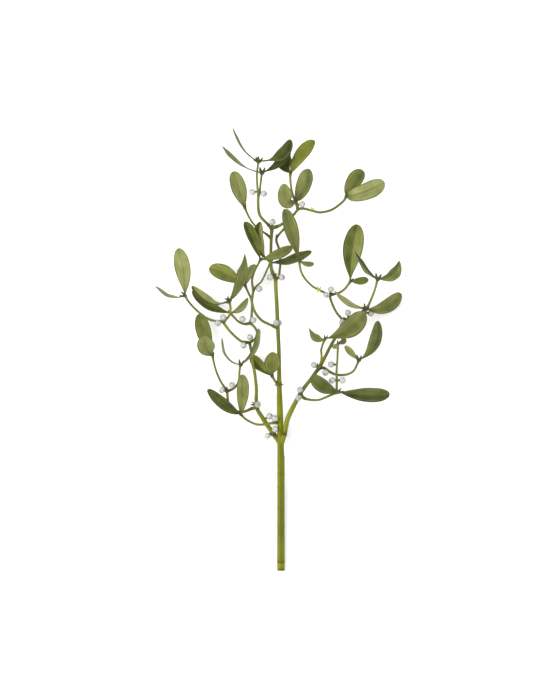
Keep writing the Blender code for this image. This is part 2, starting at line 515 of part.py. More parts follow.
def leaf(base, tip, width, roll, bend, twist, point, neck, workshop):
    """A spoon-shaped blade from base to tip, as a closed mesh object."""
    base, tip, bend = Vector(base), Vector(tip), Vector(bend)
    base += (tip - base).normalized() * BASE_OFFSET
    chord = tip - base
    shape = bmesh.new()
    bmesh.ops.create_grid(shape, x_segments=LEAF_ACROSS, y_segments=LEAF_ALONG, size=1.0)
    for vert in shape.verts:
        across, along = vert.co.x, (vert.co.y + 1.0) / 2.0
        t = 1.0 - (1.0 - along) ** 1.5
        rib = base + chord * t + bend * 4.0 * t * (1.0 - t)
        heading = (chord + bend * 4.0 * (1.0 - 2.0 * t)).normalized()
        level = UP.cross(heading).normalized()
        side = Quaternion(heading, math.radians(roll + twist * t)) @ level
        half = max(PETIOLE_WIDTH * (1.0 - t**8), width * blade_width(t, point, neck)) / 2.0
        if along > 0.999:
            half = 0.0
        dish = heading.cross(side) * (0.12 * half * across * across)
        vert.co = (rib + side * half * across + dish) * MM
    bmesh.ops.remove_doubles(shape, verts=shape.verts, dist=0.00001)
    bmesh.ops.triangulate(shape, faces=shape.faces)
    bmesh.ops.recalc_face_normals(shape, faces=shape.faces)
    mesh = bpy.data.meshes.new("leaf")
    shape.to_mesh(mesh)
    shape.free()
    item = mesh_object("leaf", mesh, workshop)
    wall = item.modifiers.new("Thickness", "SOLIDIFY")
    wall.thickness = LEAF_THICKNESS * MM
    wall.offset = 0.0
    graph = bpy.context.evaluated_depsgraph_get()
    solid = bpy.data.meshes.new_from_object(item.evaluated_get(graph))
    bpy.data.objects.remove(item, do_unlink=True)
    return mesh_object("leaf", solid, workshop)


def ball(place, radius, segments, rings, workshop, direction=UP, stretch=1.0):
    """A sphere, stretched along direction."""
    shape = bmesh.new()
    bmesh.ops.create_uvsphere(shape, u_segments=segments, v_segments=rings, radius=radius * MM)
    turn = UP.rotation_difference(Vector(direction))
    for vert in shape.verts:
        vert.co.z *= stretch
        vert.co = turn @ vert.co + Vector(place) * MM
    mesh = bpy.data.meshes.new("ball")
    shape.to_mesh(mesh)
    shape.free()
    return mesh_object("ball", mesh, workshop)


def bud(place, direction, workshop):
    """A small pointed bud whose foot is sunk in the stem."""
    heading = Vector(direction).normalized()
    centre = Vector(place) + heading * 1.6
    return ball(centre, 1.2, 5, 4, workshop, heading, 1.9)


def join(name, pieces, material, bunch):
    """One closed solid from overlapping pieces."""
    first, *others = pieces
    group = new_collection(name + "_pieces")
    for item in others:
        group.objects.link(item)
    union = first.modifiers.new("Union", "BOOLEAN")
    union.operation = "UNION"
    union.operand_type = "COLLECTION"
    union.collection = group
    union.solver = "EXACT"
    graph = bpy.context.evaluated_depsgraph_get()
    mesh = bpy.data.meshes.new_from_object(first.evaluated_get(graph))
    mesh.name = name
    for item in pieces:
        bpy.data.objects.remove(item, do_unlink=True)
    bpy.data.collections.remove(group)
    return finish(name, mesh, material, bunch)


def finish(name, mesh, material, bunch):
    """The node's object, smooth where the surface is round."""
    mesh.materials.clear()
    mesh.materials.append(material)
    mesh.shade_smooth()
    mesh.set_sharp_from_angle(angle=math.radians(50))
    return mesh_object(name, mesh, bunch)


def flatten_underside(item):
    """Cut what is below the surface off a mesh object, so that it rests on a flat spot."""
    shape = bmesh.new()
    shape.from_mesh(item.data)
    everything = [*shape.verts, *shape.edges, *shape.faces]
    cut = bmesh.ops.bisect_plane(shape, geom=everything, plane_co=(0, 0, 0), plane_no=UP, clear_inner=True)
    edges = [edge for edge in cut["geom_cut"] if isinstance(edge, bmesh.types.BMEdge)]
    bmesh.ops.contextual_create(shape, geom=edges)
    bmesh.ops.recalc_face_normals(shape, faces=shape.faces)
    shape.to_mesh(item.data)
    shape.free()


def clearance(place, radius, paths):
    """How far a ball at place is from the nearest stem surface."""
    nearest = math.inf
    for path in paths:
        for (start, thick), (end, thin) in zip(path, path[1:]):
            _, share = intersect_point_line(place, start, end)
            share = min(1.0, max(0.0, share))
            stem = thick + (thin - thick) * share
            gap = (place - start.lerp(end, share)).length - stem - radius
            nearest = min(nearest, gap)
    return nearest


def main():
    clear_scene()
    bunch = new_collection("mistletoe_bunch")
    workshop = new_collection("workshop")
    materials = {name: make_material(name) for name in COLOURS}

    stems = {"main_stem": [], "left_branch": [], "right_branch": []}
    paths = []

    def grow(name, stations, sides, sunk=0.0):
        """Add a tube to a woody stem. With sunk, its first stretch belongs to the trunk."""
        path = smooth_path(stations)
        if sunk:
            stub, path = split_path(path, sunk)
            stems["main_stem"].append(tube([(p, r + 0.3) for p, r in stub], sides, workshop))
            paths.append(stub)
        stems[name].append(tube(path, sides, workshop))
        paths.append(path)

    grow("main_stem", TRUNK, MAIN_SIDES)
    flatten_underside(stems["main_stem"][0])
    grow("main_stem", CENTRE_TWIG, TWIG_SIDES)
    grow("left_branch", LEFT_BRANCH, MAIN_SIDES, 10.4)
    grow("left_branch", LEFT_BRANCH_INNER, TWIG_SIDES)
    grow("right_branch", RIGHT_BRANCH, MAIN_SIDES, 15.0)
    grow("right_branch", RIGHT_BRANCH_UPPER, TWIG_SIDES)

    for name, spray in SPRAYS.items():
        pieces = []
        for index, stations in enumerate(spray["twigs"]):
            path = smooth_path(stations)
            if index == 0:
                stub, path = split_path(path, spray["collar"])
                stems[spray["parent"]].append(tube([(p, r + 0.3) for p, r in stub], TWIG_SIDES, workshop))
                paths.append(stub)
            pieces.append(tube(path, TWIG_SIDES, workshop))
            paths.append(path)
        for values in spray["leaves"]:
            pieces.append(leaf(*values, workshop))
        for base in sorted({values[0] for values in spray["leaves"]}):
            pieces.append(ball(base, KNOT_RADIUS, 6, 4, workshop))
        for place, direction in spray["buds"]:
            pieces.append(bud(place, direction, workshop))
        join(name, pieces, materials["leaf"], bunch)

    for name, pieces in stems.items():
        for place, direction in STEM_BUDS[name]:
            pieces.append(bud(place, direction, workshop))
        join(name, pieces, materials["stem"], bunch)

    for name, (x, y, height, side) in BERRIES.items():
        place = Vector((x, y, height))
        while clearance(place, BERRY_RADIUS, paths) < BERRY_GAP:
            place.z += 0.1 * side
        berry = ball(place, BERRY_RADIUS, BERRY_SEGMENTS, BERRY_RINGS, workshop)
        mesh = berry.data
        bpy.data.objects.remove(berry, do_unlink=True)
        finish("berry_" + name, mesh, materials["berry"], bunch)
        paths.append([(place, BERRY_RADIUS), (place + UP * 0.01, BERRY_RADIUS)])

    bpy.data.collections.remove(workshop)


main()
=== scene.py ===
# %% [markdown]
# # A bunch of mistletoe, laid on a table
#
# This notebook dresses a measured model of a cut mistletoe stem. The measured solids are the frame:
# they say where every stem, leaf and berry is. Each step below replaces some of them with a rounder,
# finer piece in the same place, so the picture and the simulation always agree.

# %% Load the measured frame
import math

import bpy
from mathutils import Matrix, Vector
from mathutils.geometry import intersect_point_line


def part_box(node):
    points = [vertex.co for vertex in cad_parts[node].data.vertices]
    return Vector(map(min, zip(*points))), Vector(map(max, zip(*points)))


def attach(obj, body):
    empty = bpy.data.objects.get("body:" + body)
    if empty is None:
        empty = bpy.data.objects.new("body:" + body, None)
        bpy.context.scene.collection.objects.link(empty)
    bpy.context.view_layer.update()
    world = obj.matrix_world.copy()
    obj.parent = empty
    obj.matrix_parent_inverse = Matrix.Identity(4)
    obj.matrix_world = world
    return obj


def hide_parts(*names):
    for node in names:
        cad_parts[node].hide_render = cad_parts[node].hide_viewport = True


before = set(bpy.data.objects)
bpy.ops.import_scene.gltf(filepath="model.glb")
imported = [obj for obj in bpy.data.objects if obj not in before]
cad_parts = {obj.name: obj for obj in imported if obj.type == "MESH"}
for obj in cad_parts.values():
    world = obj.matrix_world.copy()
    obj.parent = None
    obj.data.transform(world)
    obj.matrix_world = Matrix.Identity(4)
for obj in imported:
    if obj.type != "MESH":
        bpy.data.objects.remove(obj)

MM = 0.001
UP = Vector((0.0, 0.0, 1.0))
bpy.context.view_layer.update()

# %% [markdown]
# ## Camera
#
# The bunch lies flat and is seen from straight above, from far enough away that a raised leaf is not
# enlarged much. A camera with no rotation looks straight down with +Y at the top of the picture, so
# it only needs a place and a lens. The lens follows from the length of table it should take in.

# %% Camera
CAMERA_PLACE = (0.0006, 0.0004, 3.025)
FOCUS_HEIGHT = 0.025
LONG_SIDE_SEEN = 0.84
FARTHEST_SEEN = 20.0

lens_data = bpy.data.cameras.new("camera")
lens_data.lens = lens_data.sensor_width * (CAMERA_PLACE[2] - FOCUS_HEIGHT) / LONG_SIDE_SEEN
lens_data.clip_end = FARTHEST_SEEN
camera = bpy.data.objects.new("camera", lens_data)
camera.location = CAMERA_PLACE
bpy.context.scene.collection.objects.link(camera)
bpy.context.scene.camera = camera
print("lens, mm:", round(lens_data.lens, 1))

# %% [markdown]
# ## Node helpers
#
# Materials and Geometry Nodes trees are both made of nodes, so one function serves both: it adds a
# node, gives it its settings, and fills or links its inputs. An input goes by its name, or by its
# number where a node has several of one name. A Mix node's 0 is the share, and 6 and 7 are its two
# colours. A Map Range node turns the range from 1 to 2 into the range from 3 to 4, and a Math node
# works on 0, 1 and 2 in turn. Colours are written as the hex codes that a paint chart gives, and a
# second function turns them into the linear values Blender works in.

# %% Helpers for nodes, colours and materials
def add(tree, kind, inputs=(), out=0, **settings):
    """Add a node to a tree, set it up, fill or link its inputs, and return one of its outputs."""
    node = tree.nodes.new(kind)
    for name, value in settings.items():
        setattr(node, name, value)
    for name, value in dict(inputs).items():
        if isinstance(value, bpy.types.NodeSocket):
            tree.links.new(value, node.inputs[name])
        else:
            node.inputs[name].default_value = value
    return node.outputs[out] if len(node.outputs) else node


def linear(code):
    """A hex colour from a paint chart as linear red, green, blue and alpha."""
    shares = [int(code[i : i + 2], 16) / 255 for i in (0, 2, 4)]
    return (*[s / 12.92 if s <= 0.04045 else ((s + 0.055) / 1.055) ** 2.4 for s in shares], 1.0)


def new_material(name, **surface_values):
    """A material, its node tree and its surface node, with constant values set on the surface."""
    material = bpy.data.materials.new(name)
    material.use_nodes = True
    surface = material.node_tree.nodes["Principled BSDF"]
    for key, value in surface_values.items():
        surface.inputs[key.replace("_", " ")].default_value = value
    return material, material.node_tree, surface


def connect(tree, surface, **looks):
    """Link outputs of a material's nodes to its surface, by the names of the surface's inputs."""
    for key, socket in looks.items():
        tree.links.new(socket, surface.inputs[key.replace("_", " ")])


# %% [markdown]
# ## Light and table
#
# Plant pictures for catalogues are shot on a bright white sweep under very soft light, so that no
# hard shadow hides a leaf. The world lights everything evenly, and one large panel above the left
# edge gives the leaves a lighter and a darker side. Standard colour keeps white paper white.

# %% Light
SKY_STRENGTH = 1.3
PANEL_PLACE = (-1.4, 0.1, 1.6)
PANEL_SIZE = 1.6
PANEL_POWER = 42.0

bpy.context.scene.view_settings.view_transform = "Standard"
world = bpy.data.worlds.new("white studio")
world.use_nodes = True
world.node_tree.nodes["Background"].inputs["Color"].default_value = linear("FFFFFF")
world.node_tree.nodes["Background"].inputs["Strength"].default_value = SKY_STRENGTH
bpy.context.scene.world = world

light = bpy.data.lights.new("key panel", "AREA")
light.size, light.energy = PANEL_SIZE, PANEL_POWER
panel = bpy.data.objects.new("key panel", light)
panel.location = PANEL_PLACE
panel.rotation_euler = (-Vector(PANEL_PLACE)).to_track_quat("-Z", "Y").to_euler()
bpy.context.scene.collection.objects.link(panel)
print("panel turned by, degrees:", [round(math.degrees(turn)) for turn in panel.rotation_euler])

# %% Table of matt white paper
TABLE_HALF = 6.0
TABLE_DROP = 0.0002  # it lies just under the lowest pieces, so that nothing flickers where they touch

table_mesh = bpy.data.meshes.new("table")
corners = [(x * TABLE_HALF, y * TABLE_HALF, -TABLE_DROP) for x, y in ((-1, -1), (1, -1), (1, 1), (-1, 1))]
table_mesh.from_pydata(corners, [], [(0, 1, 2, 3)])
table = bpy.data.objects.new("table", table_mesh)
bpy.context.scene.collection.objects.link(table)
paper, tree, surface = new_material("matt white paper", Roughness=0.9)
place = add(tree, "ShaderNodeTexCoord", out=3)
# Fibres about 2.5 mm apart, far coarser than real ones, so that they show at all.
fibres = add(tree, "ShaderNodeTexNoise", {"Vector": place, "Scale": 400.0, "Detail": 3.0})
white = {0: fibres, 6: linear("F8F8F7"), 7: linear("FCFCFC")}
connect(tree, surface, Base_Color=add(tree, "ShaderNodeMix", white, 2, data_type="RGBA"))
table_mesh.materials.append(paper)
print("table side, m:", 2 * TABLE_HALF)

# %% [markdown]
# ## The plan of the plant
#
# Mistletoe forks in pairs: each shoot ends in two leaves with a bud between them, and the next
# year's two shoots start at that bud. So the whole plant is written down as rows of stations that
# the stems pass through, each with a place and a radius, and leaves that start at a shoot's end.
# These are the same millimetres as in the measured model, which keeps the pieces where they belong.

# %% Woody stems: stations are x, y, z and radius in mm
TRUNK = [
    (1.7, -266.2, 4.2, 4.5), (1.7, -253.0, 4.2, 4.6), (1.7, -215.0, 6.0, 4.5), (1.7, -170.0, 9.0, 4.5),
    (1.7, -134.0, 11.5, 4.5), (1.5, -124.0, 12.2, 4.3), (1.2, -114.0, 13.0, 4.0), (1.0, -90.0, 15.0, 3.8),
    (0.3, -66.0, 17.0, 3.6), (-0.1, -50.0, 18.3, 3.2), (-0.4, -41.0, 19.0, 2.9), (-0.4, -24.0, 20.0, 2.4),
    (-0.8, 0.0, 21.6, 2.4), (-1.6, 18.0, 23.0, 2.4), (-2.6, 40.0, 24.6, 2.4), (-3.5, 60.0, 26.0, 2.3),
    (-4.4, 76.0, 27.0, 2.3), (-4.9, 86.0, 28.0, 2.4), (-8.2, 92.0, 28.6, 2.2), (-10.2, 103.0, 29.5, 1.9),
    (-10.2, 126.0, 31.5, 1.8), (-9.0, 147.6, 33.0, 2.3),
]
LEFT_BRANCH = [
    (0.3, -112.0, 13.2, 2.9), (-5.8, -102.2, 14.0, 2.8), (-12.0, -94.1, 14.6, 2.8),
    (-17.9, -85.4, 15.0, 2.8), (-22.4, -78.2, 15.8, 2.6), (-26.6, -70.6, 17.0, 2.4),
    (-28.0, -59.0, 18.0, 2.2), (-27.7, -48.0, 19.0, 2.0), (-28.7, -36.0, 20.0, 1.9),
    (-30.4, -24.0, 21.0, 1.9), (-32.5, -14.0, 21.5, 1.8), (-33.8, -2.0, 22.0, 1.8),
    (-36.0, 9.6, 22.5, 1.8),
]
LEFT_BRANCH_INNER = [
    (-36.0, 9.6, 22.5, 1.7), (-31.6, 11.6, 23.0, 1.6), (-28.0, 16.0, 24.0, 1.6), (-27.2, 23.0, 25.0, 1.6),
    (-31.0, 28.8, 25.0, 1.6), (-35.4, 33.0, 25.0, 1.6),
]
RIGHT_BRANCH = [
    (2.2, -113.0, 13.4, 2.8), (4.9, -104.4, 17.4, 2.8), (6.9, -96.0, 20.4, 2.9), (9.3, -83.9, 21.5, 3.0),
    (14.5, -71.8, 22.0, 3.0), (20.7, -59.8, 22.0, 2.8), (25.3, -51.3, 22.0, 2.6),
    (31.8, -42.0, 22.0, 2.4), (37.6, -34.8, 22.0, 2.3), (42.6, -27.7, 22.4, 2.3),
    (47.8, -20.6, 22.8, 2.3), (55.0, -7.4, 22.4, 2.1), (59.8, 2.2, 22.0, 2.0), (64.4, 10.6, 21.5, 1.9),
    (69.0, 18.0, 21.0, 1.8), (72.6, 26.4, 21.0, 1.7), (76.2, 36.0, 21.0, 1.7),
]
RIGHT_BRANCH_UPPER = [
    (76.2, 36.0, 21.0, 1.7), (73.4, 39.4, 22.0, 1.7), (68.5, 45.3, 24.0, 1.6), (64.0, 53.9, 26.0, 1.6),
    (60.9, 62.4, 27.4, 1.6), (60.6, 66.6, 28.0, 1.7),
]
CENTRE_TWIG = [
    (-4.6, 84.0, 27.6, 1.4), (-0.8, 88.0, 25.4, 1.4), (0.2, 96.0, 23.0, 1.4), (1.0, 104.4, 20.0, 1.4),
    (0.4, 113.0, 19.0, 1.4), (-0.8, 122.4, 19.0, 1.5), (-3.6, 131.0, 20.4, 1.5), (-3.3, 135.4, 20.8, 1.5),
    (0.7, 140.8, 20.0, 1.4), (5.6, 146.0, 19.0, 1.3),
]
print(len(TRUNK), "stations along the trunk")

# %% [markdown]
# ## The leafy sprays
#
# A spray is one or more twigs, the first of which starts in a collar on its parent, with its leaves
# and buds. The collar's length is where the parent's sleeve ends. Leaves are listed under the base
# that they share. A leaf is its tip, width, roll in degrees, bend and tone. The bend is how far the
# middle of its midrib is pushed aside, and the tone runs from 0, dark, to 1, pale.
#
# Some leaves have more to say, by name. The twist adds to the roll along the leaf, in degrees. A
# point of 1 gives a pointed tip. A neck above 0 is longer and thinner, and below 0 is fuller. The
# fold is how far the two halves rise, as a share of their width. The painted half shade is painted
# light: it makes one half paler than the other, as light falls on a folded leaf. Sun is how yellow
# the light has made the leaf.

# %% Leafy sprays of the main stem
MAIN_SPRAYS = {
    "spray_crown_left": {
        "collar": 7.0,
        "twigs": [
            [(-9.0, 145.0, 33.0, 1.7), (-14.4, 151.2, 34.0, 1.7), (-22.2, 159.4, 35.0, 1.8),
             (-25.0, 166.8, 36.0, 1.8), (-25.6, 178.0, 37.0, 1.7), (-25.4, 185.0, 38.0, 1.6),
             (-26.6, 198.0, 40.0, 1.3), (-27.0, 210.0, 41.5, 1.3), (-25.2, 225.6, 42.0, 1.4)],
            [(-25.4, 184.6, 38.0, 1.4), (-23.6, 189.0, 36.6, 1.3), (-22.8, 198.0, 35.0, 1.2),
             (-21.0, 212.4, 33.0, 1.4)],
        ],
        "leaves": [
            ((-25.2, 225.6, 42.0), [
                ((-55.6, 265.9, 38.0), 15.0, 76.0, (-3.9, -4.9, 0.0), 0.5, dict(neck=1.5)),
                ((12.8, 251.3, 48.0), 17.0, 34.0, (4.4, -6.8, 2.0), 0.2,
                 dict(neck=2.5, fold=0.25, painted_half_shade=-0.1)),
            ]),
            ((-21.0, 212.4, 33.0), [
                ((-68.8, 245.4, 27.0), 16.0, 68.0, (-4.0, -5.0, 0.0), 0.7, dict(neck=2.5)),
                ((13.0, 237.0, 37.0), 12.5, -34.0, (1.8, -2.8, 1.0), 0.0,
                 dict(neck=0.6, fold=0.2, sun=0.6)),
            ]),
        ],
        "buds": [
            ((-26.0, 226.2, 42.2), (-0.9, 0.9, 0.2)), ((-24.2, 226.0, 42.6), (0.3, 1.3, 0.5)),
            ((-21.2, 213.0, 33.4), (-0.1, 1.6, 0.5)),
        ],
    },
    "spray_crown_right": {
        "collar": 6.5,
        "twigs": [
            [(-9.4, 146.6, 33.0, 2.1), (-2.5, 148.3, 35.0, 1.9), (4.2, 151.8, 36.0, 1.7),
             (16.2, 161.4, 37.0, 1.6), (22.2, 168.2, 37.0, 1.7), (28.4, 169.4, 37.0, 1.6),
             (39.0, 167.0, 36.0, 1.5), (48.6, 165.0, 34.0, 1.5), (60.6, 167.5, 32.0, 1.5),
             (69.0, 172.4, 30.0, 1.5), (77.0, 179.4, 29.0, 1.5), (79.8, 184.2, 29.0, 1.5)],
            [(22.0, 168.2, 37.0, 1.5), (19.6, 175.0, 35.4, 1.4), (17.2, 182.0, 34.0, 1.4),
             (14.4, 192.0, 33.0, 1.4), (13.0, 204.0, 32.0, 1.4), (13.0, 211.8, 32.0, 1.5)],
            [(22.4, 168.4, 37.0, 1.4), (21.4, 174.0, 39.6, 1.3), (19.8, 178.2, 41.0, 1.4)],
        ],
        "leaves": [
            ((79.8, 184.2, 29.0), [
                ((99.2, 217.0, 20.0), 20.5, -24.0, (-0.4, 0.4, 0.0), 0.4,
                 dict(neck=-0.4, fold=0.1, painted_half_shade=-0.1, sun=0.2)),
                ((126.0, 201.8, 26.0), 21.0, 14.0, (0.0, -2.6, 4.0), 0.85,
                 dict(neck=-0.6, fold=0.1, painted_half_shade=-0.1)),
            ]),
            ((13.0, 211.8, 32.0), [
                ((42.0, 250.8, 38.0), 18.0, -28.0, (-2.6, 1.0, 2.0), 0.5, dict(neck=-0.3, sun=0.7)),
                ((10.0, 238.5, 20.0), 18.5, 10.0, (-5.8, -1.6, 0.0), 0.0, dict(sun=1.0)),
            ]),
            ((19.8, 178.2, 41.0), [
                ((34.4, 216.0, 50.0), 20.0, -22.0, (1.6, -1.5, 2.0), 0.45, dict(neck=-0.5, painted_half_shade=-0.1)),
                ((5.8, 197.6, 64.0), 19.0, 0.0, (-3.6, -10.4, -2.0), 0.7, dict()),
            ]),
        ],
        "buds": [
            ((80.0, 184.8, 29.2), (0.4, 1.0, 0.3)), ((13.0, 212.4, 32.2), (0.0, 1.0, 0.3)),
            ((19.8, 178.8, 41.2), (-0.1, 1.0, 0.5)),
        ],
        "bracts": [((39.0, 168.0, 36.4), (0.0, 0.8, 0.2))],
    },
    "twig_crown_lower_left": {
        "collar": 6.4,
        "twigs": [
            [(-10.4, 134.6, 32.0, 1.4), (-14.8, 138.4, 31.6, 1.3), (-19.2, 141.6, 31.0, 1.2),
             (-25.8, 146.4, 30.0, 1.3), (-31.4, 151.8, 29.0, 1.3), (-37.0, 160.6, 28.0, 1.3),
             (-41.6, 171.0, 28.0, 1.5)],
        ],
        "leaves": [
            ((-41.6, 171.0, 28.0), [
                ((-55.2, 214.8, 26.0), 19.0, 16.0, (0.2, -1.4, 3.0), 0.7, dict(neck=-0.2)),
            ]),
        ],
        "buds": [((-41.8, 171.8, 28.2), (-0.3, 1.0, 0.3))],
    },
    "spray_centre_left": {
        "collar": 6.0,
        "twigs": [
            [(-2.6, 27.0, 24.0, 1.7), (-8.2, 29.4, 26.0, 1.6), (-14.6, 32.2, 28.0, 1.6),
             (-22.0, 36.4, 30.0, 1.6), (-29.0, 45.2, 32.0, 1.6), (-32.9, 57.2, 34.0, 1.6),
             (-31.6, 71.0, 35.6, 1.6), (-32.8, 82.8, 38.0, 1.4), (-31.0, 91.0, 40.0, 1.2),
             (-27.6, 99.0, 41.4, 1.2), (-22.8, 108.0, 42.0, 1.4)],
            [(-31.4, 70.6, 35.4, 1.4), (-28.0, 76.4, 33.0, 1.3), (-22.3, 81.7, 29.4, 1.1),
             (-17.9, 89.9, 25.6, 1.1), (-14.4, 98.1, 22.6, 1.1), (-10.8, 105.0, 22.0, 1.4)],
        ],
        "leaves": [
            ((-22.8, 108.0, 42.0), [
                ((-41.8, 153.0, 47.0), 16.0, 34.0, (0.7, 1.4, 2.0), 0.3,
                 dict(fold=0.2, painted_half_shade=0.1, sun=0.3)),
                ((15.6, 123.6, 39.0), 14.5, 40.0, (0.0, -1.2, 3.0), 0.6, dict()),
            ]),
            ((-10.8, 105.0, 22.0), [
                ((-22.6, 153.4, 43.0), 15.0, -20.0, (-7.0, -5.0, 3.0), 0.4,
                 dict(neck=1.5, fold=0.2, painted_half_shade=0.3)),
                ((38.4, 118.8, 25.0), 16.0, -44.0, (0.0, -3.6, 4.0), 0.2, dict()),
            ]),
        ],
        "buds": [((-22.8, 108.8, 42.2), (0.0, 1.0, 0.4)), ((-10.8, 105.6, 22.0), (0.1, 1.0, -0.2))],
    },
    "twig_low_centre": {
        "collar": 4.6,
        "twigs": [
            [(-0.8, -41.8, 19.4, 1.6), (-5.4, -36.8, 22.6, 1.5), (-9.0, -30.6, 25.0, 1.6)],
        ],
        "leaves": [
            ((-9.0, -30.6, 25.0), [
                ((-7.6, -2.0, 46.0), 19.5, 0.0, (-0.4, -3.0, 4.0), 0.5, dict(neck=0.7, sun=0.2)),
                ((-34.2, -5.6, 9.6), 15.0, 30.0, (-1.9, -1.6, -3.0), 0.35, dict(painted_half_shade=0.2, sun=0.5)),
            ]),
        ],
        "buds": [((-9.4, -29.8, 25.2), (-0.3, 1.0, 0.4))],
    },
    "twig_lower_left": {
        "collar": 6.0,
        "twigs": [
            [(1.2, -87.0, 15.4, 1.7), (-6.0, -87.3, 19.4, 1.6), (-13.0, -88.0, 22.0, 1.5),
             (-21.0, -89.2, 24.0, 1.5), (-28.2, -88.6, 25.6, 1.5), (-35.4, -85.6, 27.4, 1.5),
             (-41.6, -81.6, 29.4, 1.5), (-46.2, -76.8, 31.0, 1.6)],
        ],
        "leaves": [
            ((-46.2, -76.8, 31.0), [
                ((-44.2, -28.6, 40.0), 15.0, 15.0, (1.0, 0.0, 4.0), 0.65, dict(neck=-0.3, fold=0.1)),
                ((-86.0, -46.4, 29.0), 15.5, 30.0, (0.8, -4.6, 2.0), 0.2, dict(neck=-0.2)),
            ]),
        ],
        "buds": [((-46.8, -76.2, 31.2), (-0.4, 1.0, 0.3))],
    },
}
print(", ".join(MAIN_SPRAYS))

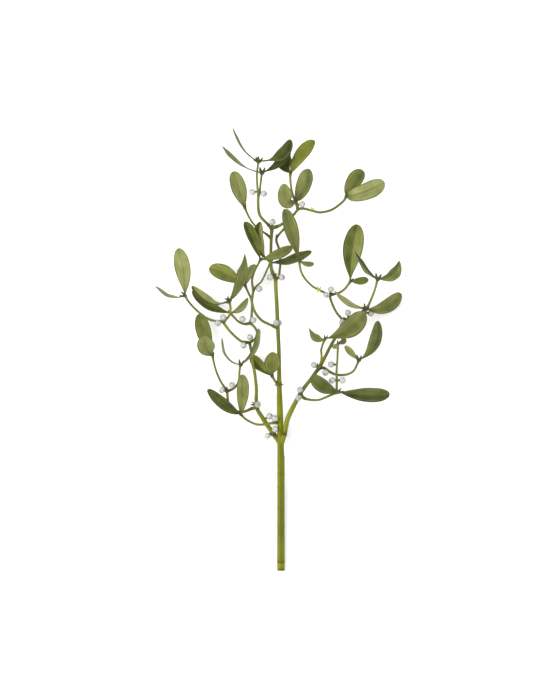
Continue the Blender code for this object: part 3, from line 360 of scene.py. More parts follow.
# %% Leafy sprays of the left branch
LEFT_SPRAYS = {
    "spray_left_low": {
        "collar": 7.6,
        "twigs": [
            [(-26.6, -69.0, 17.2, 1.8), (-32.6, -69.8, 18.0, 1.8), (-39.0, -72.5, 18.6, 1.8),
             (-44.0, -73.9, 19.0, 1.7), (-52.2, -73.2, 20.0, 1.7), (-58.2, -68.6, 21.4, 1.7),
             (-61.8, -61.2, 22.6, 1.6), (-63.4, -49.4, 24.0, 1.7), (-70.6, -37.4, 24.0, 1.5),
             (-75.4, -26.6, 24.0, 1.4), (-78.6, -15.6, 24.0, 1.4), (-80.4, -6.0, 24.0, 1.5)],
            [(-63.2, -49.8, 24.0, 1.5), (-55.8, -46.4, 23.0, 1.4), (-50.6, -40.8, 22.0, 1.4),
             (-48.6, -33.6, 21.4, 1.4), (-48.0, -24.0, 21.0, 1.4), (-46.9, -17.4, 21.0, 1.5)],
        ],
        "leaves": [
            ((-80.4, -6.0, 24.0), [
                ((-96.4, 44.2, 13.0), 18.5, 12.0, (-1.6, -1.0, 1.0), 0.5, dict(sun=0.2)),
                ((-88.6, 17.4, 58.0), 21.0, 0.0, (-2.3, -3.0, 2.0), 0.65, dict()),
            ]),
            ((-46.9, -17.4, 21.0), [
                ((-69.2, 14.8, 19.0), 12.0, 74.0, (-5.8, -6.4, 0.0), 0.8, dict()),
                ((-25.2, 26.4, 40.0), 14.0, 62.0, (5.2, -4.0, 3.0), 0.75, dict(painted_half_shade=0.15)),
            ]),
        ],
        "buds": [
            ((-80.6, -5.2, 24.2), (-0.2, 1.0, 0.4)), ((-46.9, -16.8, 21.4), (0.1, 1.4, 0.5)),
            ((-63.4, -48.4, 25.4), (-0.8, 0.9, 0.4)), ((-62.8, -48.4, 25.4), (0.6, 1.0, 0.4)),
        ],
    },
    "spray_left_outer": {
        "collar": 5.0,
        "twigs": [
            [(-35.8, 9.0, 22.5, 1.6), (-41.0, 9.9, 24.0, 1.6), (-46.4, 11.2, 25.0, 1.6),
             (-53.4, 16.8, 26.0, 1.6), (-60.8, 24.4, 26.4, 1.6), (-67.2, 33.0, 26.6, 1.7),
             (-70.6, 35.0, 26.8, 1.5), (-78.0, 35.4, 27.0, 1.4), (-85.8, 37.8, 27.0, 1.4),
             (-94.2, 43.6, 26.0, 1.4), (-103.0, 51.4, 24.0, 1.4), (-110.2, 59.8, 21.6, 1.4),
             (-113.4, 66.0, 20.0, 1.5)],
            [(-67.0, 33.0, 26.8, 1.5), (-63.8, 37.4, 29.0, 1.5), (-60.4, 41.4, 31.0, 1.4),
             (-58.6, 50.4, 34.0, 1.4), (-60.0, 58.8, 36.0, 1.5)],
        ],
        "leaves": [
            ((-113.4, 66.0, 20.0), [
                ((-121.4, 122.4, 28.0), 19.6, -12.0, (2.4, 0.0, 4.0), 0.75, dict(fold=0.1)),
                ((-149.9, 78.0, 3.2), 14.0, 72.0, (0.2, -7.0, 0.0), 0.7, dict(neck=1.6, painted_half_shade=0.1)),
            ]),
            ((-60.0, 58.8, 36.0), [
                ((-105.0, 77.0, 34.0), 13.0, 30.0, (-0.6, -10.9, 3.0), 0.45,
                 dict(neck=1.5, fold=0.35, painted_half_shade=0.2, sun=0.1)),
                ((-41.2, 115.6, 50.0), 15.5, -30.0, (6.2, -1.6, 3.0), 0.35,
                 dict(point=1.0, neck=-0.3, fold=0.25)),
            ]),
        ],
        "buds": [
            ((-114.6, 66.4, 20.6), (-1.2, 0.7, 0.3)), ((-60.0, 59.4, 36.4), (-0.1, 1.3, 0.5)),
            ((-61.2, 58.6, 36.4), (-1.2, 0.5, 0.4)),
        ],
    },
    "spray_left_inner": {
        "collar": 4.6,
        "twigs": [
            [(-35.2, 32.4, 25.0, 1.5), (-33.8, 38.4, 24.6, 1.5), (-33.2, 48.0, 24.0, 1.4),
             (-33.6, 60.0, 23.0, 1.4), (-38.4, 71.2, 22.0, 1.4), (-41.4, 78.0, 21.6, 1.5)],
        ],
        "leaves": [
            ((-41.4, 78.0, 21.6), [
                ((-84.3, 100.0, 17.0), 20.5, 22.0, (0.2, 1.6, 3.0), 0.55,
                 dict(neck=0.2, painted_half_shade=0.1, sun=0.4)),
                ((-29.4, 103.8, 18.0), 12.0, -30.0, (-1.0, 0.0, 2.0), 0.6, dict(painted_half_shade=0.1)),
            ]),
        ],
        "buds": [((-41.8, 78.8, 21.8), (-0.2, 1.0, 0.3))],
    },
    "twig_left_inner": {
        "collar": 5.0,
        "twigs": [
            [(-35.0, 32.6, 25.0, 1.5), (-40.6, 31.6, 24.4, 1.5), (-45.2, 32.4, 23.6, 1.5),
             (-50.8, 35.8, 22.6, 1.4), (-59.4, 45.0, 20.0, 1.5)],
        ],
        "leaves": [
            ((-59.4, 45.0, 20.0), [
                ((-104.7, 72.5, 13.0), 14.0, 30.0, (-2.2, -5.2, 1.0), 0.15, dict(painted_half_shade=0.1, sun=0.2)),
                ((-38.0, 63.2, 17.0), 10.0, 30.0, (1.4, -3.6, 1.0), 1.0, dict(point=0.2, painted_half_shade=0.1)),
            ]),
        ],
        "buds": [((-60.0, 46.2, 20.2), (-0.3, 0.6, 0.2))],
        "bracts": [((-59.6, 44.4, 21.2), (0.2, 0.3, 0.5))],
    },
}
print(", ".join(LEFT_SPRAYS))

# %% Leafy sprays of the right branch
RIGHT_SPRAYS = {
    "twig_right_centre": {
        "collar": 4.6,
        "twigs": [
            [(60.6, 66.0, 28.2, 1.6), (53.5, 69.3, 32.0, 1.5), (46.8, 72.6, 36.0, 1.5),
             (39.0, 76.8, 40.0, 1.4), (30.6, 85.2, 44.0, 1.4), (25.4, 94.8, 47.0, 1.3),
             (23.4, 106.8, 49.0, 1.5)],
        ],
        "leaves": [
            ((23.4, 106.8, 49.0), [
                ((6.2, 168.0, 56.0), 18.4, 20.0, (0.0, 0.0, 4.0), 0.55, dict(neck=0.3, fold=0.25)),
                ((41.2, 102.4, 46.0), 8.5, 40.0, (0.0, -1.2, 1.0), 0.6, dict()),
            ]),
        ],
        "buds": [((23.4, 107.6, 49.2), (0.1, 1.0, 0.4))],
        "bracts": [((46.8, 73.2, 36.6), (0.1, 1.0, 0.2)), ((46.8, 72.2, 36.6), (0.0, -1.0, 0.2))],
    },
    "twig_right_upper": {
        "collar": 4.6,
        "twigs": [
            [(60.6, 66.4, 28.0, 1.6), (67.2, 67.8, 27.0, 1.5), (72.6, 69.6, 26.4, 1.5),
             (78.8, 74.2, 26.0, 1.5), (85.2, 82.8, 26.0, 1.5)],
        ],
        "leaves": [
            ((85.2, 82.8, 26.0), [
                ((93.8, 150.8, 30.0), 24.5, 8.0, (-3.1, 0.0, 2.0), 0.5,
                 dict(neck=0.2, fold=0.3, painted_half_shade=0.1, sun=0.2)),
                ((106.8, 84.2, 23.0), 11.5, 36.0, (0.0, 0.0, 1.0), 0.4, dict(neck=-0.3, sun=0.2)),
            ]),
        ],
        "buds": [((85.4, 83.6, 26.2), (0.2, 1.0, 0.3))],
    },
    "spray_right_outer": {
        "collar": 5.0,
        "twigs": [
            [(76.0, 35.6, 21.0, 1.6), (82.0, 36.8, 19.6, 1.6), (90.0, 37.4, 18.0, 1.5),
             (97.6, 38.6, 17.0, 1.5), (102.2, 43.0, 17.0, 1.5), (103.8, 49.2, 18.0, 1.7),
             (107.2, 54.8, 20.0, 1.5), (110.3, 61.8, 22.0, 1.5), (114.5, 73.0, 24.4, 1.4),
             (117.6, 85.2, 26.0, 1.5)],
        ],
        "leaves": [
            ((103.8, 49.2, 18.0), [
                ((65.4, 71.4, 37.0), 11.0, 46.0, (-2.4, -3.6, 1.0), 0.95, dict(point=0.7)),
                ((146.6, 69.4, 0.6), 17.0, 6.0, (2.2, -6.8, 3.0), 0.5, dict(fold=0.1, painted_half_shade=-0.1)),
            ]),
            ((117.6, 85.2, 26.0), [
                ((90.0, 117.6, 48.0), 14.0, 60.0, (-2.1, -3.8, 2.0), 0.3, dict(point=1.0, painted_half_shade=-0.2)),
                ((143.2, 107.3, 33.0), 17.0, 34.0, (4.8, -5.6, 2.0), 0.45,
                 dict(point=0.6, fold=0.1, painted_half_shade=0.1)),
            ]),
        ],
        "buds": [
            ((103.8, 49.8, 18.8), (0.1, 1.4, 0.8)), ((117.6, 86.0, 26.4), (0.1, 1.6, 0.5)),
            ((102.4, 49.0, 18.8), (-0.8, 0.3, 0.8)),
        ],
    },
    "twig_right_middle": {
        "collar": 7.0,
        "twigs": [
            [(47.8, -20.8, 22.8, 1.6), (49.6, -15.0, 28.6, 1.5), (50.4, -7.0, 31.0, 1.4),
             (49.9, 0.0, 31.6, 1.4), (52.0, 8.0, 31.6, 1.4), (54.8, 13.8, 31.4, 1.5)],
        ],
        "leaves": [
            ((54.8, 13.8, 31.4), [
                ((101.8, 45.4, 37.0), 25.0, 50.0, (2.2, -4.6, 4.0), 0.5,
                 dict(twist=-46.0, neck=0.4, fold=0.1, painted_half_shade=-0.1)),
                ((35.4, 27.6, 24.0), 13.5, 40.0, (-0.4, -7.0, 0.0), 0.6, dict(point=1.0)),
            ]),
        ],
        "buds": [((54.8, 14.6, 31.6), (0.0, 1.0, 0.4))],
    },
    "spray_right_low": {
        "collar": 8.4,
        "twigs": [
            [(25.6, -51.8, 22.0, 1.7), (28.8, -57.0, 20.0, 1.7), (36.6, -59.4, 19.0, 1.5),
             (46.2, -59.8, 19.0, 1.4), (54.0, -57.2, 20.0, 1.5), (64.0, -52.8, 21.6, 1.5),
             (71.4, -50.4, 22.0, 1.6)],
            [(69.4, -51.0, 22.0, 1.5), (68.6, -45.6, 24.4, 1.4), (68.8, -36.0, 26.0, 1.5),
             (68.4, -26.0, 26.6, 1.3), (69.4, -10.0, 26.2, 1.2), (70.2, 8.0, 25.6, 1.5)],
        ],
        "leaves": [
            ((71.4, -50.4, 22.0), [
                ((39.0, -28.8, 39.0), 17.5, -14.0, (-1.8, -3.8, 3.0), 0.3, dict(fold=0.1)),
                ((133.0, -53.2, 11.0), 18.4, 14.0, (0.0, -1.2, 4.0), 0.2, dict(fold=0.1, painted_half_shade=-0.1)),
            ]),
            ((70.2, 8.0, 25.6), [
                ((64.6, 1.6, 45.0), 8.0, 30.0, (0.0, 0.0, 2.0), 0.95, dict()),
                ((79.0, 15.0, 22.0), 8.0, 20.0, (1.0, -1.0, 1.0), 0.5, dict()),
            ]),
        ],
        "buds": [((72.2, -50.0, 22.2), (1.0, 0.6, 0.3)), ((70.2, 8.8, 25.8), (0.1, 0.8, 0.2))],
    },
    "twig_right_lower": {
        "collar": 5.4,
        "twigs": [
            [(47.4, -20.8, 22.8, 1.6), (54.0, -21.4, 20.6, 1.6), (60.6, -25.9, 19.6, 1.6),
             (67.0, -28.8, 19.0, 1.5), (75.0, -29.8, 19.0, 1.4), (82.8, -28.4, 19.4, 1.4),
             (89.8, -23.7, 20.0, 1.4), (95.4, -12.0, 20.6, 1.5)],
        ],
        "leaves": [
            ((95.4, -12.0, 20.6), [
                ((78.4, 5.4, 24.0), 9.5, 34.0, (-0.6, -0.2, 1.0), 0.85, dict()),
                ((117.8, 35.4, 24.0), 15.0, -14.0, (6.4, -5.2, 3.0), 0.3,
                 dict(neck=0.3, fold=0.1, painted_half_shade=-0.1)),
            ]),
        ],
        "buds": [((95.2, -11.4, 21.2), (-0.2, 1.4, 0.6))],
    },
}
print(", ".join(RIGHT_SPRAYS))

# %% Buds of the woody stems: place and direction
STEM_BUDS = {
    "main_stem": [
        ((-2.6, -41.4, 19.6), (-0.7, 0.5, 0.1)), ((1.8, -41.4, 19.6), (0.7, 0.5, 0.1)),
        ((-6.4, 90.0, 29.6), (0.5, 0.9, 0.2)), ((-3.8, 87.4, 28.6), (0.6, 0.2, 0.3)),
        ((-3.4, 136.0, 21.6), (0.2, 0.7, 0.5)),
    ],
    "left_branch": [((-30.6, -64.8, 17.4), (-0.9, 0.5, 0.2)), ((-8.6, -100.6, 15.6), (-0.5, -0.8, 0.2))],
    "right_branch": [
        ((77.6, 37.6, 21.2), (0.4, 0.7, 0.2)), ((45.6, -19.4, 22.8), (-0.6, 0.8, 0.3)),
        ((49.4, -21.6, 22.8), (0.5, 0.2, 0.9)), ((46.6, -24.2, 23.4), (-0.3, 0.2, 0.9)),
    ],
}

# %% [markdown]
# ## Smooth paths
#
# A smooth curve through a row of stations is the classic Catmull-Rom curve: at each station it
# heads from the station before to the one after. Where a spray meets its parent, the path is cut,
# so that each piece has its own stretch and the parent's short sleeve shows as a joint.

# %% Paths through stations
def smooth_path(stations, step=1.5):
    """Points about step mm apart on a smooth curve through the stations, as (place, radius) in mm."""
    knots = [Vector(station) for station in stations]
    knots = [2 * knots[0] - knots[1], *knots, 2 * knots[-1] - knots[-2]]
    path = []
    for before, start, end, after in zip(knots, knots[1:], knots[2:], knots[3:]):
        count = max(1, round((end.xyz - start.xyz).length / step))
        for t in (index / count for index in range(count)):
            curve = 2 * start + t * (end - before)
            curve += t * t * (2 * before - 5 * start + 4 * end - after)
            curve += t**3 * (3 * start - before - 3 * end + after)
            path.append(0.5 * curve)
    path.append(knots[-2])
    return [(Vector(point[:3]), point[3]) for point in path]


def split_path(path, distance):
    """The path up to a distance along it in mm, and the rest."""
    stub, rest, run = [path[0]], [], 0.0
    for (start, thick), (end, thin) in zip(path, path[1:]):
        span = (end - start).length
        if run < distance <= run + span:
            share = (distance - run) / span
            cut = (start.lerp(end, share), thick + (thin - thick) * share)
            stub.append(cut)
            rest.append(cut)
        if run + span < distance:
            stub.append((end, thin))
        if run + span > distance:
            rest.append((end, thin))
        run += span
    return stub, rest


stub, rest = split_path(smooth_path(TRUNK), 100.0)
print("points in the trunk's first 100 mm:", len(stub), "and in the rest:", len(rest))

# %% [markdown]
# ## From a guide to a piece
#
# Each piece starts as a guide: a mesh of bare lines or points that carry numbers, such as the
# radius of the stem there. A Geometry Nodes tree reads the numbers and builds the surface. The
# result is then kept as a plain mesh, because a finished piece should not depend on its recipe.
# Instances are lost when a model is exported, so each tree ends by turning them into plain faces.

# %% Guides, trees and growing
ABOVE_TABLE = (-9.0, -9.0, 0.0)  # the least x, y and z that a point may have, in metres


def guide_mesh(name, lines):
    """Lines of points as a mesh. A point is its place in mm and a dict of the numbers it carries."""
    places, edges, numbers = [], [], {}
    for line in lines:
        edges += [(len(places) + i, len(places) + i + 1) for i in range(len(line) - 1)]
        for place, carried in line:
            places.append(Vector(place) * MM)
            for key, number in carried.items():
                numbers.setdefault(key, []).append(number)
    mesh = bpy.data.meshes.new(name)
    mesh.from_pydata(places, edges, [])
    for key, values in numbers.items():
        if isinstance(values[0], float):
            mesh.attributes.new(key, "FLOAT", "POINT").data.foreach_set("value", values)
        else:
            flat = [number for value in values for number in value]
            mesh.attributes.new(key, "FLOAT_VECTOR", "POINT").data.foreach_set("vector", flat)
    return mesh


def new_tree(name, sizes):
    """A Geometry Nodes tree with one named input for each size, and the outputs of its input node."""
    tree = bpy.data.node_groups.new(name, "GeometryNodeTree")
    tree.interface.new_socket("Geometry", in_out="INPUT", socket_type="NodeSocketGeometry")
    tree.interface.new_socket("Geometry", in_out="OUTPUT", socket_type="NodeSocketGeometry")
    for label, value in sizes.items():
        kind = "NodeSocketInt" if isinstance(value, int) else "NodeSocketFloat"
        kind = "NodeSocketMaterial" if isinstance(value, bpy.types.Material) else kind
        tree.interface.new_socket(label, in_out="INPUT", socket_type=kind).default_value = value
    return tree, tree.nodes.new("NodeGroupInput").outputs


def above_table(tree, shape):
    """Move whatever would be under the table up to its surface."""
    place = add(tree, "GeometryNodeInputPosition")
    above = add(tree, "ShaderNodeVectorMath", {0: place, 1: ABOVE_TABLE}, operation="MAXIMUM")
    return add(tree, "GeometryNodeSetPosition", {0: shape, "Position": above})


def close_tree(tree, shape, skin):
    """End a tree: plain faces instead of instances, smooth shading, a material and the output."""
    shape = add(tree, "GeometryNodeRealizeInstances", {0: shape})
    shape = add(tree, "GeometryNodeSetShadeSmooth", {0: shape})
    shape = add(tree, "GeometryNodeSetMaterial", {0: shape, "Material": skin})
    add(tree, "NodeGroupOutput", {0: shape})
    print(tree.name + ":", len(tree.nodes), "nodes")


def grow(name, lines, tree, sizes=()):
    """Run a tree on a guide and keep the result as a plain mesh object at the origin."""
    holder = bpy.data.objects.new(name + "_guide", guide_mesh(name, lines))
    bpy.context.scene.collection.objects.link(holder)
    recipe = holder.modifiers.new("Grow", "NODES")
    recipe.node_group = tree
    for socket in tree.interface.items_tree:
        if socket.item_type == "SOCKET" and socket.in_out == "INPUT" and socket.name in dict(sizes):
            recipe[socket.identifier] = dict(sizes)[socket.name]
    graph = bpy.context.evaluated_depsgraph_get()
    mesh = bpy.data.meshes.new_from_object(holder.evaluated_get(graph))
    bpy.data.objects.remove(holder, do_unlink=True)
    mesh.name = name
    piece = bpy.data.objects.new(name, mesh)
    bpy.context.scene.collection.objects.link(piece)
    return piece


# %% [markdown]
# ## Bark
#
# Mistletoe stays green all over: its bark is a smooth, waxy yellow-green skin with fine lines along
# the stem, and it turns olive-brown where shoots join. The stem tree stores a "grain" coordinate
# that is straight along every stem however it bends, so the lines can follow it. A stretched noise
# draws them. Waxy skin reflects softly, so the roughness is middling and the IOR that of plant wax.

# %% Bark material: skin of young and old wood
bark, tree, surface = new_material("waxy green mistletoe bark", IOR=1.43, Specular_IOR_Level=0.12)
grain = add(tree, "ShaderNodeAttribute", out=1, attribute_name="grain")
knot_and_shade, old, upper, yellow = [
    add(tree, "ShaderNodeAttribute", out=2, attribute_name=name)
    for name in ("knot_and_shade", "old", "upper", "yellow")
]
# Lines are about 0.9 mm apart round the stem and 12 mm long.
stretched = add(tree, "ShaderNodeMapping", {"Vector": grain, "Scale": (1100.0, 1100.0, 80.0)})
lines = add(tree, "ShaderNodeTexNoise", {"Vector": stretched, "Scale": 1.0, "Detail": 3.0})
place = add(tree, "ShaderNodeTexCoord", out=3)
patches = add(tree, "ShaderNodeTexNoise", {"Vector": place, "Scale": 45.0, "Detail": 2.0})
patches = add(tree, "ShaderNodeMapRange", {0: patches, 1: 0.3, 2: 0.7, 3: 0.0, 4: 1.0})
young_skin, old_skin = [
    add(tree, "ShaderNodeMix", {0: patches, 6: linear(dark), 7: linear(light)}, 2, data_type="RGBA")
    for dark, light in (("565C28", "6A7036"), ("5A6012", "6B701C"))
]
# Old wood shows fully from 60 mm below the middle of the bunch down, and by a quarter above it.
age = add(tree, "ShaderNodeSeparateXYZ", {0: place}, 1)
age = add(tree, "ShaderNodeMapRange", {0: age, 1: -0.06, 2: 0.0, 3: 1.0, 4: 0.25})
old = add(tree, "ShaderNodeMath", {0: old, 1: age}, operation="MULTIPLY")
skin = add(tree, "ShaderNodeMix", {0: old, 6: young_skin, 7: old_skin}, 2, data_type="RGBA")

# %% Bark material: sides, marks, gloss and relief
# Painted shade by which way the skin faces: greyer, darker sides and a deeper crest on old wood.
# Knots are olive-brown.
smooth = {"interpolation_type": "SMOOTHSTEP"}
# Painted shade: the sides and the underside darken as the skin turns away from straight up.
side = add(tree, "ShaderNodeMapRange", {0: upper, 1: 0.8, 2: 0.3, 3: 0.0, 4: 0.8}, **smooth)
painted_crest_shade = add(tree, "ShaderNodeMapRange", {0: upper, 1: 0.86, 2: 0.96, 3: 0.0, 4: 0.6}, **smooth)
painted_crest_shade = add(tree, "ShaderNodeMath", {0: painted_crest_shade, 1: old}, operation="MULTIPLY")
furrow = add(tree, "ShaderNodeMapRange", {0: lines, 1: 0.45, 2: 0.75, 3: 0.0, 4: 0.5})
# The knot colour also paints shade at two of the listed rings.
layers = ((side, "525832"), (painted_crest_shade, "464E06"), (yellow, "868606"), (furrow, "464C10"), (knot_and_shade, "38360C"))
for share, code in layers:
    skin = add(tree, "ShaderNodeMix", {0: share, 6: skin, 7: linear(code)}, 2, data_type="RGBA")
gloss = add(tree, "ShaderNodeMapRange", {0: lines, 1: 0.3, 2: 0.7, 3: 0.38, 4: 0.55})
relief = add(tree, "ShaderNodeBump", {"Strength": 0.35, "Distance": 0.0003, "Height": lines})
connect(tree, surface, Base_Color=skin, Roughness=gloss, Normal=relief)
print(bark.name, "has", len(tree.nodes), "nodes")

# %% [markdown]
# ## Stems
#
# A stem is a circle swept along a path, with the circle's size taken from the radius at each point.
# Geometry Nodes do this with Curve to Mesh. A little noise on the radius keeps it from looking
# turned on a lathe, and everything is held above the table, so the heavy end rests on a flat spot.

# %% The stem tree: sweep
# Many nodes below are of this kind or have this setting.
store, vector = "GeometryNodeStoreNamedAttribute", {"data_type": "FLOAT_VECTOR"}

stem_tree, size = new_tree(
    "Stem swept along its path", {"Sides": 20, "Step": 0.0012, "Lumpiness": 0.09, "Bark": bark}
)
path = add(stem_tree, "GeometryNodeMeshToCurve", {0: size["Geometry"]})
path = add(stem_tree, "GeometryNodeCurveSplineType", {0: path}, spline_type="CATMULL_ROM")
path = add(stem_tree, "GeometryNodeResampleCurve", {0: path, "Length": size["Step"]}, mode="LENGTH")
girth = add(stem_tree, "GeometryNodeInputNamedAttribute", {"Name": "girth"}, data_type="FLOAT")
place = add(stem_tree, "GeometryNodeInputPosition")
lumps = add(stem_tree, "ShaderNodeTexNoise", {"Vector": place, "Scale": 170.0, "Detail": 1.0})
lumps = add(stem_tree, "ShaderNodeMath", {0: lumps, 1: 0.5}, operation="SUBTRACT")
lumps = add(stem_tree, "ShaderNodeMath", {0: lumps, 1: size["Lumpiness"], 2: 1.0}, operation="MULTIPLY_ADD")
girth = add(stem_tree, "ShaderNodeMath", {0: girth, 1: lumps}, operation="MULTIPLY")
run = add(stem_tree, "GeometryNodeSplineParameter", out=1)
for label, value in (("girth_here", girth), ("run", run)):
    path = add(stem_tree, store, {0: path, "Name": label, "Value": value})
ring = add(stem_tree, "GeometryNodeCurvePrimitiveCircle", {"Resolution": size["Sides"], "Radius": 1.0})
ring = add(stem_tree, store, {0: ring, "Name": "round", "Value": place}, **vector)
skin = add(stem_tree, "GeometryNodeCurveToMesh", {0: path, 1: ring, "Scale": girth, "Fill Caps": True})
print("stem tree:", len(stem_tree.nodes), "nodes so far")

# %% The stem tree: grain, table contact and bark
around = add(stem_tree, "GeometryNodeInputNamedAttribute", {"Name": "round"}, **vector)
wide, far = [
    add(stem_tree, "GeometryNodeInputNamedAttribute", {"Name": name}, data_type="FLOAT")
    for name in ("girth_here", "run")
]
around = add(stem_tree, "ShaderNodeVectorMath", {0: around, "Scale": wide}, operation="SCALE")
far = add(stem_tree, "ShaderNodeCombineXYZ", {"Z": far})
grain = add(stem_tree, "ShaderNodeVectorMath", {0: around, 1: far}, operation="ADD")
skin = add(stem_tree, store, {0: skin, "Name": "grain", "Value": grain}, **vector)
# Which way the skin faces, kept for the bark's painted shade on the sides and the crest.
facing = add(stem_tree, "GeometryNodeInputNormal")
facing = add(stem_tree, "ShaderNodeSeparateXYZ", {0: facing}, 2)
skin = add(stem_tree, store, {0: skin, "Name": "upper", "Value": facing})
close_tree(stem_tree, above_table(stem_tree, skin), size["Bark"])

# %% [markdown]
# Where a shoot starts or ends, mistletoe has a swollen knot. The guide's radius grows there, and
# the same number colours the bark darker. It also darkens rings round the stem at listed places:
# most are where shoots join, but the ring at the cut end and the wide one where two twigs leave the
# right branch are painted shade. Some stretches are yellower. The old wood of the main stems is marked too.

# %% Marks on the bark
# A mark is x and y of its middle and how far it reaches, all in mm, then its strength.
# Dark rings on the bark: most where shoots join; the one at the cut end and the wide one where two twigs
# leave the right branch are painted shade.
DARK_RINGS_AND_SHADE = [
    (2.0, -255.4, 1.8, 0.8), (2.0, -148.0, 2.8, 0.2), (-0.4, -41.0, 1.8, 0.8), (45.0, -24.5, 6.0, 0.6),
    (-6.4, -101.6, 2.4, 0.9), (6.4, -99.6, 2.4, 0.9), (2.0, -265.0, 1.0, 0.8), (-5.6, 86.0, 2.6, 0.6),
    (-9.0, 147.0, 2.2, 0.4), (60.6, 66.4, 2.2, 0.5), (76.2, 36.0, 2.4, 0.5), (-25.4, 184.6, 2.2, 0.5),
    (-63.4, -49.6, 2.4, 0.6), (24.5, -52.5, 3.0, 0.5), (-26.8, -69.0, 2.4, 0.6), (16.4, 187.0, 5.0, 0.3),
]
YELLOWED = [
    (0.0, -84.0, 26.0, 0.45), (2.0, -128.0, 22.0, 0.1), (2.0, -158.0, 12.0, 0.1), (2.0, -240.0, 11.0, 0.15),
    (2.0, -258.0, 5.0, 0.5), (-27.6, -46.0, 26.0, 0.4), (-32.0, -10.0, 16.0, 0.3), (-4.6, 78.0, 12.0, 0.4),
    (10.0, -80.0, 18.0, 0.25), (-64.0, 30.0, 10.0, 0.4), (-59.4, 45.0, 9.0, 0.6), (50.0, -12.0, 9.0, 0.4),
]


def marked(place, marks):
    """How strongly a place in mm is marked, from 0 to 1."""
    return max(
        strength * math.exp(-((place.x - x) ** 2 + (place.y - y) ** 2) / reach**2)
        for x, y, reach, strength in marks
    )


print(len(DARK_RINGS_AND_SHADE), "scars and", len(YELLOWED), "yellower stretches")

# %% Guides for stems
KNOT_LENGTH = 2.4
KNOT_DARKNESS = 0.6


def stem_line(path, start_swell, end_swell, old):
    """A guide line along a path. Each end swells by a share of its radius, over about KNOT_LENGTH."""
    runs = [0.0]
    for (start, _), (end, _) in zip(path, path[1:]):
        runs.append(runs[-1] + (end - start).length)
    line = []
    for (place, radius), run in zip(path, runs):
        near_start = math.exp(-((run / KNOT_LENGTH) ** 2))
        near_end = math.exp(-(((runs[-1] - run) / KNOT_LENGTH) ** 2))
        girth = radius * (1.0 + start_swell * near_start + end_swell * near_end)
        knot_and_shade = KNOT_DARKNESS * max(near_start * (start_swell > 0.0), near_end * (end_swell > 0.0))
        # Listed dark rings, two of which are painted shade.
        knot_and_shade = max(knot_and_shade, marked(place, DARK_RINGS_AND_SHADE))
        yellow = marked(place, YELLOWED)
        line.append((place, {"girth": girth * MM, "knot_and_shade": knot_and_shade, "old": old, "yellow": yellow}))
    return line


# %% Woody stems and the sleeves of the branches
LEFT_COLLAR, RIGHT_COLLAR = 10.4, 15.0
SLEEVE_WALL = 0.2  # how much thicker a parent's sleeve is than the shoot in it, in mm

wood = {"main_stem": [], "left_branch": [], "right_branch": []}
stem_paths = []


def cut_sleeve(owner, path, length, start_swell, end_swell, old):
    """Give the first stretch of a path to its parent as a sleeve, and return the rest."""
    sleeve, rest = split_path(path, length)
    thicker = [(place, radius + SLEEVE_WALL) for place, radius in sleeve]
    wood[owner].append(stem_line(thicker, start_swell, end_swell, old))
    stem_paths.append(sleeve)
    return rest


for owner, stations, collar, old in (
    ("main_stem", TRUNK, 0.0, 1.0),
    ("main_stem", CENTRE_TWIG, 0.0, 0.4),
    ("left_branch", LEFT_BRANCH, LEFT_COLLAR, 0.4),
    ("left_branch", LEFT_BRANCH_INNER, 0.0, 0.4),
    ("right_branch", RIGHT_BRANCH, RIGHT_COLLAR, 0.4),
    ("right_branch", RIGHT_BRANCH_UPPER, 0.0, 0.4),
):
    path = smooth_path(stations)
    if collar:
        path = cut_sleeve("main_stem", path, collar, start_swell=0.0, end_swell=0.1, old=0.6)
    wood[owner].append(stem_line(path, start_swell=0.0, end_swell=0.2, old=old))
    stem_paths.append(path)
print({owner: len(lines) for owner, lines in wood.items()}, "stretches")

# %% Twigs of the sprays and their sleeves
SPRAYS = {"main_stem": MAIN_SPRAYS, "left_branch": LEFT_SPRAYS, "right_branch": RIGHT_SPRAYS}
spray_wood = {}
for parent, sprays in SPRAYS.items():
    for name, spray in sprays.items():
        spray_wood[name] = []
        for index, stations in enumerate(spray["twigs"]):
            path, start_swell = smooth_path(stations), 0.35
            if index == 0:
                path = cut_sleeve(parent, path, spray["collar"], start_swell=0.3, end_swell=0.12, old=0.3)
                start_swell = 0.15
            spray_wood[name].append(stem_line(path, start_swell, end_swell=0.4, old=0.0))
            stem_paths.append(path)
print(len(stem_paths), "stretches of stem")

# %% [markdown]
# ## Buds
#
# Between each pair of leaves sits a dark cluster of tiny pointed bud scales. One scale is a small
# ball drawn out to a point. Three scales stand in a ring to make a bud, and the bud is repeated on
# every point of the guide, turned to the direction that the point carries.

# %% Bud and bract materials
def speckled(name, grain, dark, light):
    """A matt material, speckled in two colours. Speckles are about 1 / grain metres across."""
    material, tree, surface = new_material(name, IOR=1.45, Roughness=0.5)
    place = add(tree, "ShaderNodeTexCoord", out=3)
    speckle = add(tree, "ShaderNodeTexNoise", {"Vector": place, "Scale": grain, "Detail": 2.0})
    shade = add(tree, "ShaderNodeMix", {0: speckle, 6: linear(dark), 7: linear(light)}, 2, data_type="RGBA")
    connect(tree, surface, Base_Color=shade)
    return material, tree, surface, speckle


scale_skin, tree, surface, speckle = speckled("olive-brown bud scale", 700.0, "262208", "4C4818")
relief = add(tree, "ShaderNodeBump", {"Strength": 0.4, "Distance": 0.0003, "Height": speckle})
connect(tree, surface, Normal=relief)
bract_skin = speckled("yellow bract", 500.0, "8C8710", "B4AE28")[0]
print(scale_skin.name, "and", bract_skin.name)

